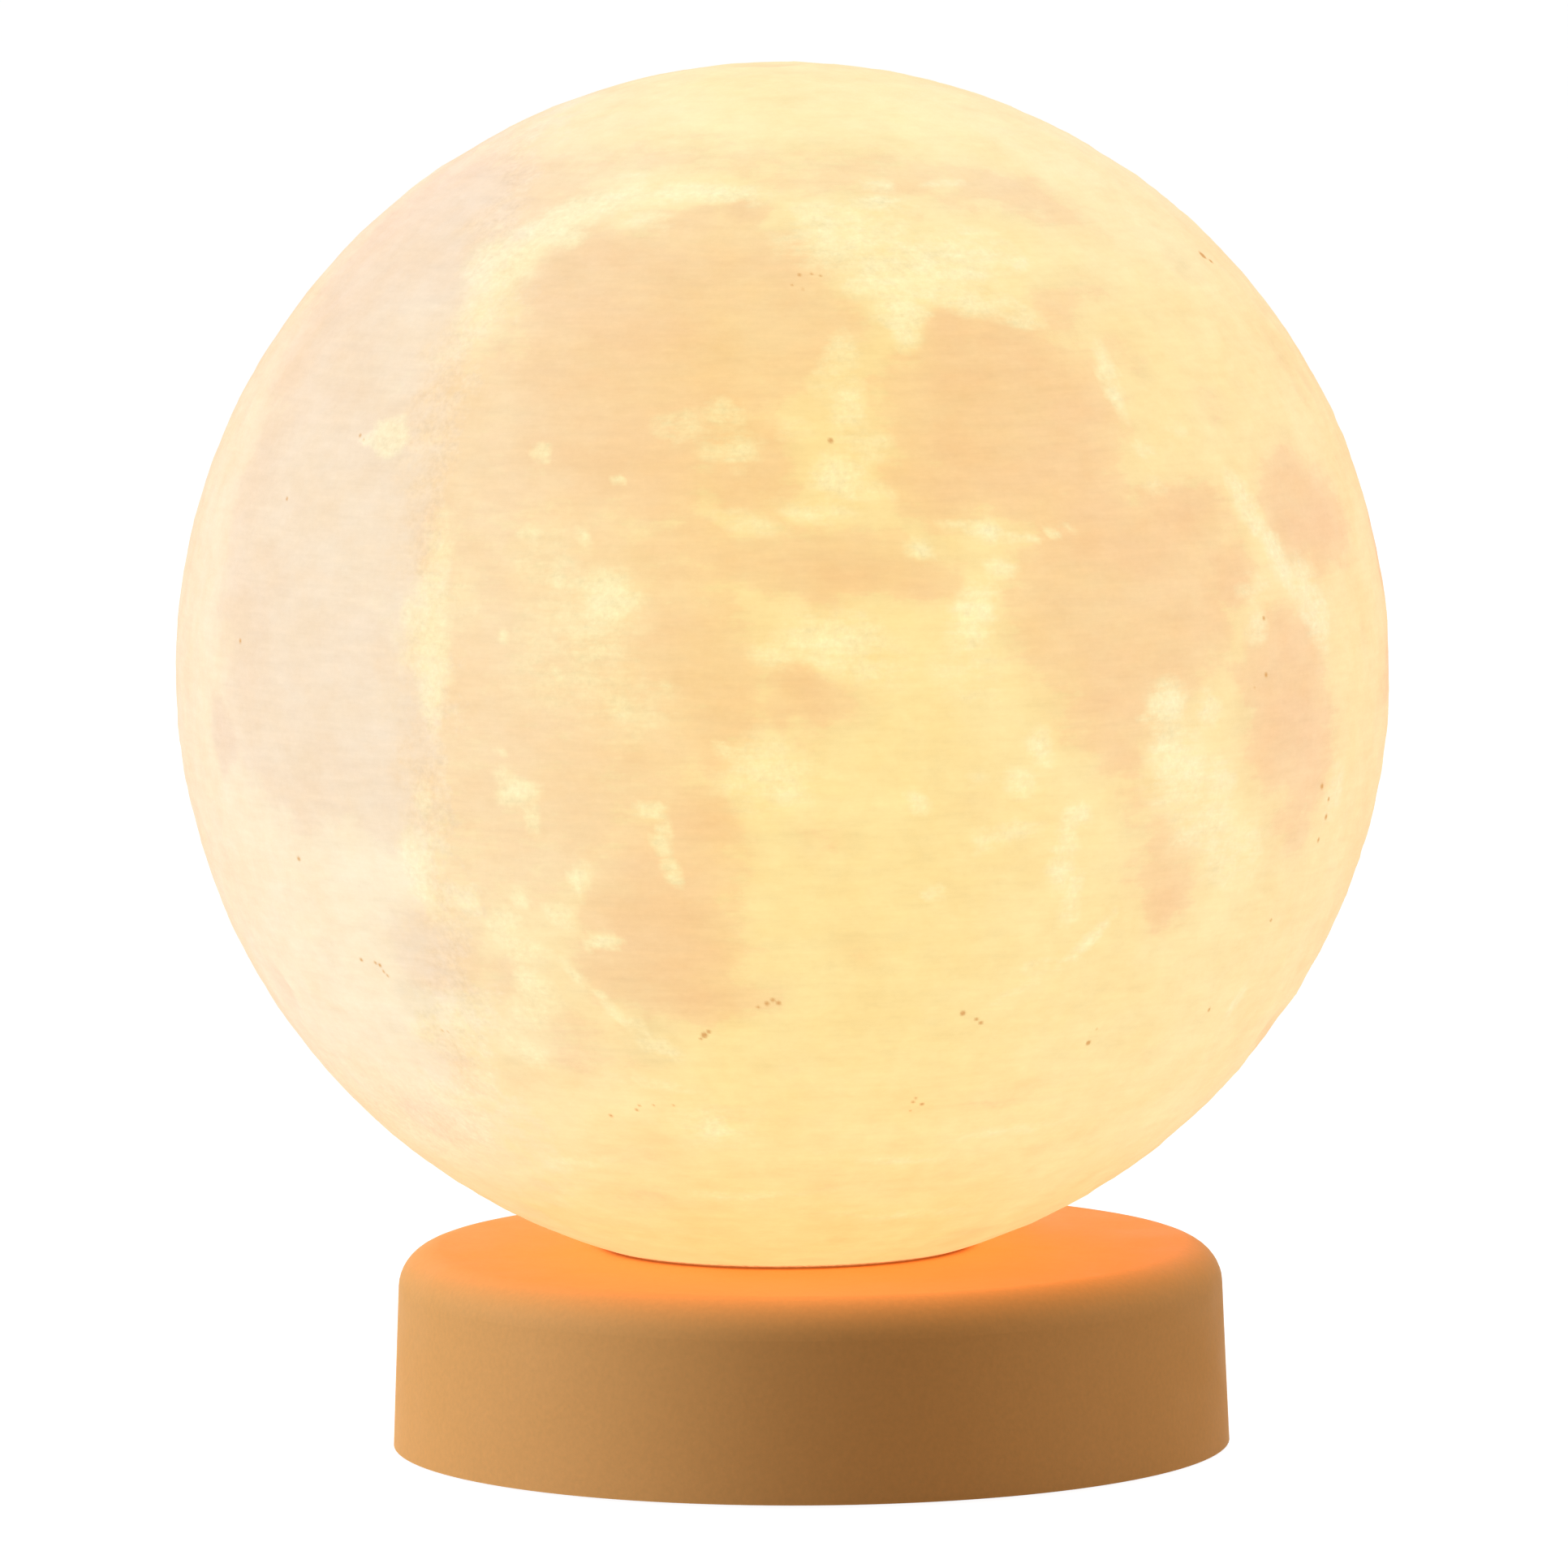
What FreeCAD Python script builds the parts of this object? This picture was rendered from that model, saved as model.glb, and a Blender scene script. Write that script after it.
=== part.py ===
import FreeCAD, Part
import math
import os
from FreeCAD import Vector

# A lit moon globe that stands loose on a low round base. All sizes are millimetres.
# +Z is up, the front looks along -Y, and the origin is on the base's axis, on the table.

# Globe: a printed ball, cut flat where it stands, with a round opening over the lamp post.
globe_diameter = 150.0
globe_wall = 2.0
globe_foot_diameter = 44.0
neck_diameter = 40.0
neck_play = 3.2          # how far the opening can slide about the lamp post, each way
neck_gap = 0.3           # what is left of the play on the side that the globe stands against

# Base housing: a drafted cup, closed below by the bottom plate.
base_diameter = 104.0
base_taper = 1.0         # how much smaller the radius is at the top than at the foot
base_height = 25.0
base_edge_radius = 5.0
base_wall = 2.2
base_top_thickness = 2.4
least_edge = 0.5         # the least rounding inside the cup
foot_proud = 0.4         # how far the foot pad holds the housing off the table

# Bottom plate, its screws and the foot pad.
plate_thickness = 2.6
plate_gap = 0.25
pad_thickness = 1.5
pad_inset = 3.5
pad_gap = 0.2
pad_edge = 0.3
seat_wall = 1.3          # plastic left under each screw head
boss_radius = 3.5
sleeve_radius = 4.0      # of the plate's sleeve under each boss
boss_inset = 6.8         # from the housing's inner wall to each boss's centre
boss_count = 4
housing_screw_length = 8.0

# Lamp post: carries the light through the top of the base.
post_wall = 2.0
post_height = 10.0       # from the top of the base to the deck
deck_thickness = 2.0
cap_wall = 1.4
cap_height = 15.0
cap_step = 4.0           # how far the cap slips down over the post
cap_gap = 0.1
cap_dome_radius = 7.0
ear_count = 3
ear_radius = 3.6
ear_reach = 3.0          # clear length of each ear beside the post
ear_boss_radius = 3.2
ear_thickness = 2.0
ear_boss_height = 2.5
wire_hole_radius = 3.0
post_gap = 0.2           # between the post and the hole in the housing

# Light board on the deck.
light_board_radius = 14.0
light_board_thickness = 1.2
light_boss_radius = 2.2
light_screw_reach = 1.0  # between the wire hole and each screw's head
board_lip = 0.6          # how far the board covers the edge of the wire hole
chip_count = 12
chip_ring_radius = 10.5
chip_size = (3.5, 2.8, 0.8)
resistor_size = (1.6, 0.8, 0.5)
resistor_count = 4
resistor_ring_radius = 6.2

# Rear panel with the power inlet, the push button and the charge light.
panel_half_width = 15.4
panel_height = 11.0
panel_wall = 2.8
panel_margin = 2.0       # of thick wall past the panel's sides and top
panel_lift = 0.3         # of the thick wall over the bottom plate
inlet_x = 7.5
inlet_width = 12.4
inlet_height = 6.6
inlet_corner = 2.0
button_x = -8.5
button_radius = 3.5
button_gap = 0.15
button_flange = 1.0
button_flange_depth = 0.8
flange_gap = 0.02        # between the flange and the panel that stops it
button_proud = 0.9
button_edge = 0.5
button_stub_radius = 1.4
button_stub_length = 1.0
button_travel = 0.6
switch_gap = 0.4         # left between the pressed button and the switch
lens_to_flange = 0.55    # between the lens's collar and the button's flange
lens_radius = 1.0
lens_gap = 0.05
lens_collar = 0.6
lens_collar_depth = 0.8
lens_proud = 0.2
charge_light_size = (1.6, 1.2, 2.1)

# Control board and what is soldered to it.
board_width = 30.0
board_depth = 22.0
board_thickness = 1.2
board_gap = 0.3
board_lift = 3.0         # of the board over the plate
standoff_radius = 2.6
standoff_inset = (2.6, 3.4)       # of the front two, from the board's side and front
rear_standoff_inset = 6.4
notch_gap = 0.5          # between the board and the button's flange as it travels
socket_size = (8.94, 3.26)
socket_length = 7.3
socket_wall = 0.3
socket_floor = 1.0
tongue_size = (6.7, 4.6, 0.7)
switch_size = (6.0, 3.5, 3.26)
plunger_size = (2.6, 3.2, 1.6)
plunger_gap = 0.1
plunger_seat_gap = 0.01  # between the plunger and the button's stub
header_size = (7.0, 7.0, 5.0)
header_wall = 0.6
header_back = 1.2
header_overhang = 0.5
plug_gap = 0.1
plug_proud = 1.6
led_header_x = -6.5
battery_header_x = 6.5

# Battery, its tape and the leads.
battery_size = (30.0, 40.0, 8.0)
battery_corner = 3.0
battery_clearance = 0.4
battery_to_board = 12.0
tape_inset = 3.0
tape_thickness = 1.0
fence_wall = 1.6
fence_length = 8.0
fence_height = 5.0
lead_radius = 0.55
lead_pitch = 2.0
lead_run = 5.0           # straight length in front of the light's plug
battery_lead_run = 3.0
battery_lead_x = 4.0
battery_lead_pitch = 3.0
battery_lead_height = 4.8

# Screws: shank radius, head radius, head height.
housing_screw = (1.3, 2.3, 1.5)
small_screw = (1.0, 1.8, 1.2)
small_screw_length = 4.4
screw_gap = 0.05
hole_gap = 0.25
head_gap = 0.2
pilot_room = 0.3         # past the end of each screw

# How far a cutting or joining shape runs past a face, and the least that a full round falls short.
past = 1.0
hair = 0.01

# Places that follow from the sizes above.
globe_radius = globe_diameter / 2
foot_radius = globe_foot_diameter / 2
neck_radius = neck_diameter / 2
post_radius = neck_radius - neck_play
globe_shift = neck_play - neck_gap
top_z = base_height
roof_z = base_height - base_top_thickness
globe_centre = Vector(-globe_shift, 0, top_z + math.sqrt(globe_radius ** 2 - foot_radius ** 2))
draft = base_taper / (base_height - foot_proud)
plate_top = foot_proud + plate_thickness
recess_z = pad_thickness
seat_z = recess_z + housing_screw[2] + head_gap
boss_z = seat_z + seat_wall
ear_top = roof_z - ear_boss_height
ear_bottom = ear_top - ear_thickness
deck_top = top_z + post_height
board_bottom = plate_top + board_lift
board_top = board_bottom + board_thickness
port_z = board_top + socket_size[1] / 2


def outer_radius(z):
    """The housing's outer radius at a height."""
    return base_diameter / 2 - draft * (z - foot_proud)


def inner_radius(z):
    return outer_radius(z) - base_wall


plate_radius = inner_radius(plate_top) - plate_gap
panel_y = math.sqrt(outer_radius(port_z) ** 2 - panel_half_width ** 2)
panel_inner_y = panel_y - panel_wall
boss_ring = inner_radius(boss_z) - boss_inset
ear_ring = post_radius + ear_radius + ear_reach
board_corner_y = math.sqrt((inner_radius(board_top) - board_gap) ** 2 - (board_width / 2) ** 2)
board_rear = min(panel_inner_y - board_gap, board_corner_y)
board_front = board_rear - board_depth
header_front = board_front - header_overhang
plug_front = header_front - plug_proud
battery_rear = board_front - battery_to_board
flange_rear = panel_inner_y - flange_gap
flange_front = flange_rear - button_flange_depth
stub_tip = flange_front - button_stub_length
lens_x = button_x + button_radius + button_flange + lens_to_flange + lens_collar + lens_radius
switch_face = stub_tip - button_travel - switch_gap
battery_bottom = plate_top + tape_thickness
battery_top = battery_bottom + battery_size[2]
lead_z = (battery_top + ear_bottom) / 2
plug_z = board_top + header_size[2] / 2


# Shapes that several pieces share.

def rod(radius, low, high, x=0.0, y=0.0):
    """A cylinder along +Z."""
    return Part.makeCylinder(radius, high - low, Vector(x, y, low))


def rod_y(radius, front, rear, x, z):
    """A cylinder along +Y."""
    return Part.makeCylinder(radius, rear - front, Vector(x, front, z), Vector(0, 1, 0))


def block(x, y, z):
    """A box from three (low, high) pairs."""
    return Part.makeBox(x[1] - x[0], y[1] - y[0], z[1] - z[0], Vector(x[0], y[0], z[0]))


def centred_block(width, depth, height, x, y, z):
    """A box centred in X and Y that stands on z."""
    return Part.makeBox(width, depth, height, Vector(x - width / 2, y - depth / 2, z))


def ring_places(count, radius, first_degrees):
    """Points spread evenly round the axis."""
    angles = [math.radians(first_degrees + 360.0 * n / count) for n in range(count)]
    return [(radius * math.cos(a), radius * math.sin(a)) for a in angles]


def round_slot(width, height, corner, x, z, front, rear):
    """A rounded rectangle in XZ, run along +Y."""
    solid = block((x - width / 2, x + width / 2), (front, rear), (z - height / 2, z + height / 2))
    along_y = [e for e in solid.Edges if abs(e.tangentAt(e.FirstParameter).y) > 0.99]
    return solid.makeFillet(min(corner, height / 2 - hair, width / 2 - hair), along_y)


def circle_edges(solid, z, radius):
    """The round edges of a solid at one height and radius."""
    return [
        e for e in solid.Edges
        if abs(e.BoundBox.ZMin - z) < 1e-4 and abs(e.BoundBox.ZMax - z) < 1e-4
        and abs(e.BoundBox.XLength / 2 - radius) < 1e-3
    ]


def drafted_cup(low_radius, low, high, edge):
    """A cone frustum with the housing's draft and a rounded top edge."""
    high_radius = low_radius - draft * (high - low)
    solid = Part.makeCone(low_radius, high_radius, high - low, Vector(0, 0, low))
    return solid.makeFillet(edge, circle_edges(solid, high, high_radius))


def screw(kind, length, x, y, seat, up):
    """A pan-head screw whose head rests on a seat. Its shank points up or down from there."""
    shank_radius, head_radius, head_height = kind
    head = rod(head_radius, -head_height, 0)
    head = head.makeFillet(head_height * 0.45, circle_edges(head, -head_height, head_radius))
    cross_width, cross_depth = head_radius * 0.3, head_height * 0.55
    for turn in (0, 90):
        bar = centred_block(head_radius * 1.1, cross_width, cross_depth, 0, 0, -head_height)
        bar.rotate(Vector(), Vector(0, 0, 1), turn)
        head = head.cut(bar)
    shank = rod(shank_radius, 0, length)
    shank = shank.makeChamfer(shank_radius * 0.5, circle_edges(shank, length, shank_radius))
    solid = head.fuse(shank).removeSplitter()
    if not up:
        solid.rotate(Vector(), Vector(1, 0, 0), 180)
    solid.translate(Vector(x, y, seat))
    return solid


def lead(points, radius):
    """A round wire along straight runs that are joined by tangent arcs."""
    points = [Vector(*p) for p in points]
    edges, start = [], points[0]
    for before, at, after in zip(points, points[1:], points[2:]):
        into, out = (at - before).normalize(), (after - at).normalize()
        half_turn = into.getAngle(out) / 2
        reach = 0.45 * min((at - before).Length, (after - at).Length)
        bend = reach / math.tan(half_turn)
        first, last = at - into * reach, at + out * reach
        inward = (out - into).normalize()
        middle = at + inward * (bend / math.cos(half_turn) - bend)
        edges += [Part.LineSegment(start, first).toShape(), Part.Arc(first, middle, last).toShape()]
        start = last
    edges.append(Part.LineSegment(start, points[-1]).toShape())
    path = Part.Wire(edges)
    section = Part.Wire(Part.Circle(points[0], points[1] - points[0], radius).toShape())
    return path.makePipeShell([section], True, False)


# The globe.

def moon_shell():
    outer = Part.makeSphere(globe_radius, globe_centre)
    inner = Part.makeSphere(globe_radius - globe_wall, globe_centre)
    x, y = globe_centre.x, globe_centre.y
    below = rod(globe_radius, top_z - globe_radius, top_z, x, y)
    neck = rod(neck_radius, top_z - past, globe_centre.z, x, y)
    return outer.cut(below).cut(neck.fuse(inner))


# The base.

def rear_panel():
    """The flat, thickened wall behind the inlet, the button and the charge light."""
    reach = panel_half_width + panel_margin
    low, high = plate_top + panel_lift, port_z + panel_height / 2 + panel_margin
    land = block((-reach, reach), (panel_inner_y, base_diameter), (low, high))
    return land.common(drafted_cup(base_diameter / 2, foot_proud, top_z, base_edge_radius))


def base_housing():
    edge = base_edge_radius
    cup = drafted_cup(base_diameter / 2, foot_proud, top_z, edge)
    hollow_edge = max(edge - base_wall, least_edge)
    hollow = drafted_cup(base_diameter / 2 - base_wall, foot_proud, roof_z, hollow_edge)
    solid = cup.cut(hollow).fuse(rear_panel())
    for x, y in ring_places(boss_count, boss_ring, 45):
        solid = solid.fuse(rod(boss_radius, boss_z, roof_z + past, x, y))
    for x, y in ring_places(ear_count, ear_ring, 90):
        solid = solid.fuse(rod(ear_boss_radius, ear_top, roof_z + past, x, y))
    for x, y in ring_places(boss_count, boss_ring, 45):
        pilot = rod(housing_screw[0] + screw_gap, boss_z - past, boss_z + housing_screw_length, x, y)
        solid = solid.cut(pilot)
    for x, y in ring_places(ear_count, ear_ring, 90):
        reach = ear_bottom + small_screw_length + pilot_room
        solid = solid.cut(rod(small_screw[0] + screw_gap, ear_top - past, reach, x, y))
    solid = solid.cut(rod(post_radius + post_gap, roof_z - past, top_z + past))
    far = base_diameter
    wide = 2 * (panel_half_width + panel_margin)
    recess = round_slot(wide, panel_height, panel_height / 2, 0, port_z, panel_y, far)
    inlet = round_slot(inlet_width, inlet_height, inlet_corner, inlet_x, port_z, panel_inner_y - past, far)
    button_hole = rod_y(button_radius + button_gap, panel_inner_y - past, far, button_x, port_z)
    lens_hole = rod_y(lens_radius + lens_gap, panel_inner_y - past, far, lens_x, port_z)
    return solid.cut(recess).cut(inlet).cut(button_hole).cut(lens_hole).removeSplitter()


def fence_corner(side_x, side_y):
    """One of four corner posts that stand round the battery on the plate."""
    half_x = battery_size[0] / 2 + battery_clearance
    half_y = battery_size[1] / 2 + battery_clearance
    out_x, out_y = half_x + fence_wall, half_y + fence_wall
    high = plate_top + fence_height
    corner = block((out_x - fence_length, out_x), (out_y - fence_length, out_y), (plate_top, high))
    room = block((0, half_x), (0, half_y), (plate_top - past, high + past))
    post = corner.cut(room)
    if side_x < 0:
        post = post.mirror(Vector(), Vector(1, 0, 0))
    if side_y < 0:
        post = post.mirror(Vector(), Vector(0, 1, 0))
    post.translate(Vector(0, battery_rear - battery_size[1] / 2, 0))
    return post.common(rod(inner_radius(high) - plate_gap, plate_top, high))


def standoff_places():
    """Where the control board stands: two front places with screws, two rear ones without."""
    dx = board_width / 2 - standoff_inset[0]
    front, rear = board_front + standoff_inset[1], board_rear - rear_standoff_inset
    return [(-dx, front), (dx, front)], [(-dx, rear), (dx, rear)]


def bottom_plate():
    solid = rod(plate_radius, foot_proud, plate_top)
    for x, y in ring_places(boss_count, boss_ring, 45):
        solid = solid.fuse(rod(sleeve_radius, plate_top - past, boss_z, x, y))
    screwed, plain = standoff_places()
    for x, y in screwed + plain:
        solid = solid.fuse(rod(standoff_radius, plate_top - past, board_bottom, x, y))
    for side_x in (-1, 1):
        for side_y in (-1, 1):
            solid = solid.fuse(fence_corner(side_x, side_y))
    solid = solid.cut(rod(plate_radius - pad_inset, foot_proud - past, recess_z))
    for x, y in ring_places(boss_count, boss_ring, 45):
        solid = solid.cut(rod(housing_screw[1] + hole_gap, foot_proud - past, seat_z, x, y))
        solid = solid.cut(rod(housing_screw[0] + hole_gap, seat_z - past, boss_z + past, x, y))
    for x, y in screwed:
        low = board_top - small_screw_length - pilot_room
        solid = solid.cut(rod(small_screw[0] + screw_gap, low, board_bottom + past, x, y))
    return solid.removeSplitter()


def foot_pad():
    radius = plate_radius - pad_inset - pad_gap
    pad = rod(radius, 0, pad_thickness)
    return pad.makeFillet(pad_edge, circle_edges(pad, 0, radius))


def housing_screws():
    places = ring_places(boss_count, boss_ring, 45)
    return [screw(housing_screw, housing_screw_length, x, y, seat_z, True) for x, y in places]


# The lamp post and what it carries.

def lamp_post():
    solid = rod(post_radius, ear_bottom, deck_top)
    for x, y in ring_places(ear_count, ear_ring, 90):
        arm = centred_block(ear_ring, 2 * ear_radius, ear_thickness, ear_ring / 2, 0, ear_bottom)
        arm.rotate(Vector(), Vector(0, 0, 1), math.degrees(math.atan2(y, x)))
        solid = solid.fuse(rod(ear_radius, ear_bottom, ear_top, x, y)).fuse(arm)
    solid = solid.cut(rod(post_radius - post_wall, ear_bottom - past, deck_top - deck_thickness))
    step = rod(post_radius + past, deck_top - cap_step, deck_top + past)
    step = step.cut(rod(post_radius - cap_wall - cap_gap, deck_top - cap_step, deck_top + past))
    solid = solid.cut(step).cut(rod(wire_hole_radius, ear_bottom, deck_top + past))
    for x, y in light_screw_places():
        boss_low = deck_top - small_screw_length
        solid = solid.fuse(rod(light_boss_radius, boss_low, deck_top - deck_thickness / 2, x, y))
        pilot_low = boss_low + light_board_thickness - pilot_room
        solid = solid.cut(rod(small_screw[0] + screw_gap, pilot_low, deck_top + past, x, y))
    for x, y in ring_places(ear_count, ear_ring, 90):
        solid = solid.cut(rod(small_screw[0] + hole_gap, ear_bottom - past, ear_top + past, x, y))
    return solid.removeSplitter()


def light_screw_places():
    reach = wire_hole_radius + small_screw[1] + light_screw_reach
    return ring_places(2, reach, 0)


def post_screws():
    places = ring_places(ear_count, ear_ring, 90)
    return [screw(small_screw, small_screw_length, x, y, ear_bottom, True) for x, y in places]


def light_board():
    high = deck_top + light_board_thickness + past
    solid = rod(light_board_radius, deck_top, high - past)
    solid = solid.cut(rod(wire_hole_radius - board_lip, deck_top - past, high))
    for x, y in light_screw_places():
        solid = solid.cut(rod(small_screw[0] + hole_gap, deck_top - past, high, x, y))
    return solid


def light_board_screws():
    seat = deck_top + light_board_thickness
    return [screw(small_screw, small_screw_length, x, y, seat, False) for x, y in light_screw_places()]


def on_light_board(size, count, radius, first_degrees):
    """Small parts soldered in a ring on the light board."""
    parts = []
    for x, y in ring_places(count, radius, first_degrees):
        part = centred_block(*size, 0, 0, deck_top + light_board_thickness)
        part.rotate(Vector(), Vector(0, 0, 1), math.degrees(math.atan2(y, x)) + 90)
        part.translate(Vector(x, y, 0))
        parts.append(part)
    return parts


def light_chips():
    return on_light_board(chip_size, chip_count, chip_ring_radius, 15)


def light_resistors():
    return on_light_board(resistor_size, resistor_count, resistor_ring_radius, 45)


def diffuser_cap():
    low, high = deck_top - cap_step, deck_top - cap_step + cap_height
    outer = rod(post_radius, low, high)
    outer = outer.makeFillet(cap_dome_radius, circle_edges(outer, high, post_radius))
    inner = rod(post_radius - cap_wall, low - past, high - cap_wall)
    inner = inner.makeFillet(
        cap_dome_radius - cap_wall, circle_edges(inner, high - cap_wall, post_radius - cap_wall)
    )
    return outer.cut(inner)


# The rear panel's own pieces.

def power_button():
    cap = rod_y(button_radius, flange_front, panel_y + button_proud, button_x, port_z)
    rim = [e for e in cap.Edges if abs(e.BoundBox.YMin - (panel_y + button_proud)) < 1e-4]
    cap = cap.makeFillet(button_edge, rim)
    flange = rod_y(button_radius + button_flange, flange_front, flange_rear, button_x, port_z)
    stub = rod_y(button_stub_radius, flange_front - button_stub_length, flange_front, button_x, port_z)
    return cap.fuse(flange).fuse(stub).removeSplitter()


def switch_plunger():
    width, length, height = plunger_size
    return block(
        (button_x - width / 2, button_x + width / 2),
        (stub_tip - length, stub_tip - plunger_seat_gap),
        (port_z - height / 2, port_z + height / 2),
    )


def switch_body():
    width, depth, height = switch_size
    body = block(
        (button_x - width / 2, button_x + width / 2),
        (switch_face - depth, switch_face),
        (board_top, board_top + height),
    )
    half_x = plunger_size[0] / 2 + plunger_gap
    half_z = plunger_size[2] / 2 + plunger_gap
    deep = stub_tip - plunger_size[1] - button_travel - plunger_gap
    channel = block(
        (button_x - half_x, button_x + half_x),
        (deep, switch_face + past),
        (port_z - half_z, port_z + half_z),
    )
    return body.cut(channel)


def charge_lens():
    """A clear pipe from the charge light on the board to the panel's face."""
    front = panel_inner_y - lens_collar_depth
    pipe = rod_y(lens_radius, front, panel_y + lens_proud, lens_x, port_z)
    collar = rod_y(lens_radius + lens_collar, front, panel_inner_y, lens_x, port_z)
    return pipe.fuse(collar).removeSplitter()


def charge_light():
    width, depth, height = charge_light_size
    rear = panel_inner_y - lens_collar_depth - board_gap
    return centred_block(width, depth, height, lens_x, rear - depth / 2, board_top)


def inlet_socket():
    width, height = socket_size
    rear = panel_inner_y - board_gap
    front = rear - socket_length
    shell = round_slot(width, height, height / 2, inlet_x, port_z, front, rear)
    inner_width, inner_height = width - 2 * socket_wall, height - 2 * socket_wall
    floor = front + socket_floor
    room = round_slot(inner_width, inner_height, inner_height / 2, inlet_x, port_z, floor, rear + past)
    return shell.cut(room)


def inlet_tongue():
    width, length, thickness = tongue_size
    rear = panel_inner_y - board_gap
    root = rear - socket_length + socket_floor
    return block(
        (inlet_x - width / 2, inlet_x + width / 2),
        (root, root + length),
        (port_z - thickness / 2, port_z + thickness / 2),
    )


# The control board.

def control_board():
    half = board_width / 2
    solid = block((-half, half), (board_front, board_rear), (board_bottom, board_top))
    for x, y in standoff_places()[0]:
        solid = solid.cut(rod(small_screw[0] + hole_gap, board_bottom - past, board_top + past, x, y))
    reach = button_radius + button_flange + notch_gap
    notch_front = flange_front - button_travel - notch_gap
    notch = block(
        (button_x - reach, button_x + reach),
        (notch_front, board_rear + past),
        (board_bottom - past, board_top + past),
    )
    return solid.cut(notch)


def control_board_screws():
    return [screw(small_screw, small_screw_length, x, y, board_top, False) for x, y in standoff_places()[0]]


def board_chips():
    """The charger and dimmer chips, the coil and two capacitors."""
    middle = board_front + board_depth * 0.45
    sizes_and_places = [
        ((5.0, 4.0, 1.5), (0.0, middle)),
        ((4.0, 5.0, 1.2), (-11.0, middle + 2.0)),
        ((5.0, 5.0, 3.0), (6.5, middle + 1.5)),
        ((2.0, 1.25, 1.0), (0.0, middle + 4.5)),
        ((2.0, 1.25, 1.0), (0.0, middle - 4.5)),
    ]
    return [centred_block(*size, *place, board_top) for size, place in sizes_and_places]


def header(x):
    width, depth, height = header_size
    body = centred_block(width, depth, height, x, header_front + depth / 2, board_top)
    room = block(
        (x - width / 2 + header_wall, x + width / 2 - header_wall),
        (header_front - past, header_front + depth - header_back),
        (board_top + header_wall, board_top + height - header_wall),
    )
    return body.cut(room)


def plug(x):
    width, depth, height = header_size
    side = header_wall + plug_gap
    return block(
        (x - width / 2 + side, x + width / 2 - side),
        (plug_front, header_front + depth - header_back - plug_gap),
        (board_top + side, board_top + height - side),
    )


def led_header():
    return header(led_header_x)


def led_plug():
    return plug(led_header_x)


def battery_header():
    return header(battery_header_x)


def battery_plug():
    return plug(battery_header_x)


def led_leads():
    """Two wires from the light board, down inside the post and back to their plug."""
    wires = []
    for side in (-0.5, 0.5):
        x_top, x_plug = side * lead_pitch, led_header_x + side * lead_pitch
        drop = plug_front - lead_run
        route = [
            (x_top, 0, deck_top),
            (x_top, 0, lead_z),
            (0.7 * x_plug, 0.62 * drop, lead_z),
            (x_plug, drop, plug_z),
            (x_plug, plug_front, plug_z),
        ]
        wires.append(lead(route, lead_radius))
    return wires


def battery_leads():
    """Two wires from the end of the battery to their plug."""
    wires = []
    z_cell = battery_bottom + battery_lead_height
    for side in (-0.5, 0.5):
        x_cell = battery_lead_x + side * battery_lead_pitch
        x_plug = battery_header_x + side * lead_pitch
        route = [
            (x_cell, battery_rear, z_cell),
            (x_cell, battery_rear + battery_lead_run, z_cell),
            (x_plug, plug_front - battery_lead_run, plug_z),
            (x_plug, plug_front, plug_z),
        ]
        wires.append(lead(route, lead_radius))
    return wires


# The battery.

def battery_cell():
    width, depth, height = battery_size
    body = centred_block(width, depth, height, 0, battery_rear - depth / 2, battery_bottom)
    along_y = [e for e in body.Edges if abs(e.tangentAt(e.FirstParameter).y) > 0.99]
    return body.makeFillet(battery_corner, along_y)


def battery_tape():
    width, depth, _ = battery_size
    reach = battery_corner + tape_inset
    return centred_block(
        width - 2 * reach, depth - 2 * tape_inset, tape_thickness, 0, battery_rear - depth / 2, plate_top
    )


pieces = [
    moon_shell, base_housing, bottom_plate, foot_pad, housing_screws,
    lamp_post, post_screws, light_board, light_board_screws, light_chips, light_resistors, diffuser_cap,
    power_button, switch_plunger, switch_body, charge_lens, charge_light, inlet_socket, inlet_tongue,
    control_board, control_board_screws, board_chips,
    led_header, led_plug, battery_header, battery_plug, led_leads, battery_leads,
    battery_cell, battery_tape,
]

os.makedirs("parts", exist_ok=True)
for piece in pieces:
    made = piece()
    shape = Part.makeCompound(made) if isinstance(made, list) else made
    faults = [s for s in shape.Solids if not s.isValid() or s.Volume <= 0]
    size = f"{len(shape.Solids):3d} solids {shape.Volume / 1000:9.3f} cm3"
    print(f"{piece.__name__:22s} {size} {len(faults)} faults")
    shape.exportStep(f"parts/{piece.__name__}.step")
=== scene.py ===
import math

import bmesh
import bpy
import numpy as np
from mathutils import Matrix, Vector, noise


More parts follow.
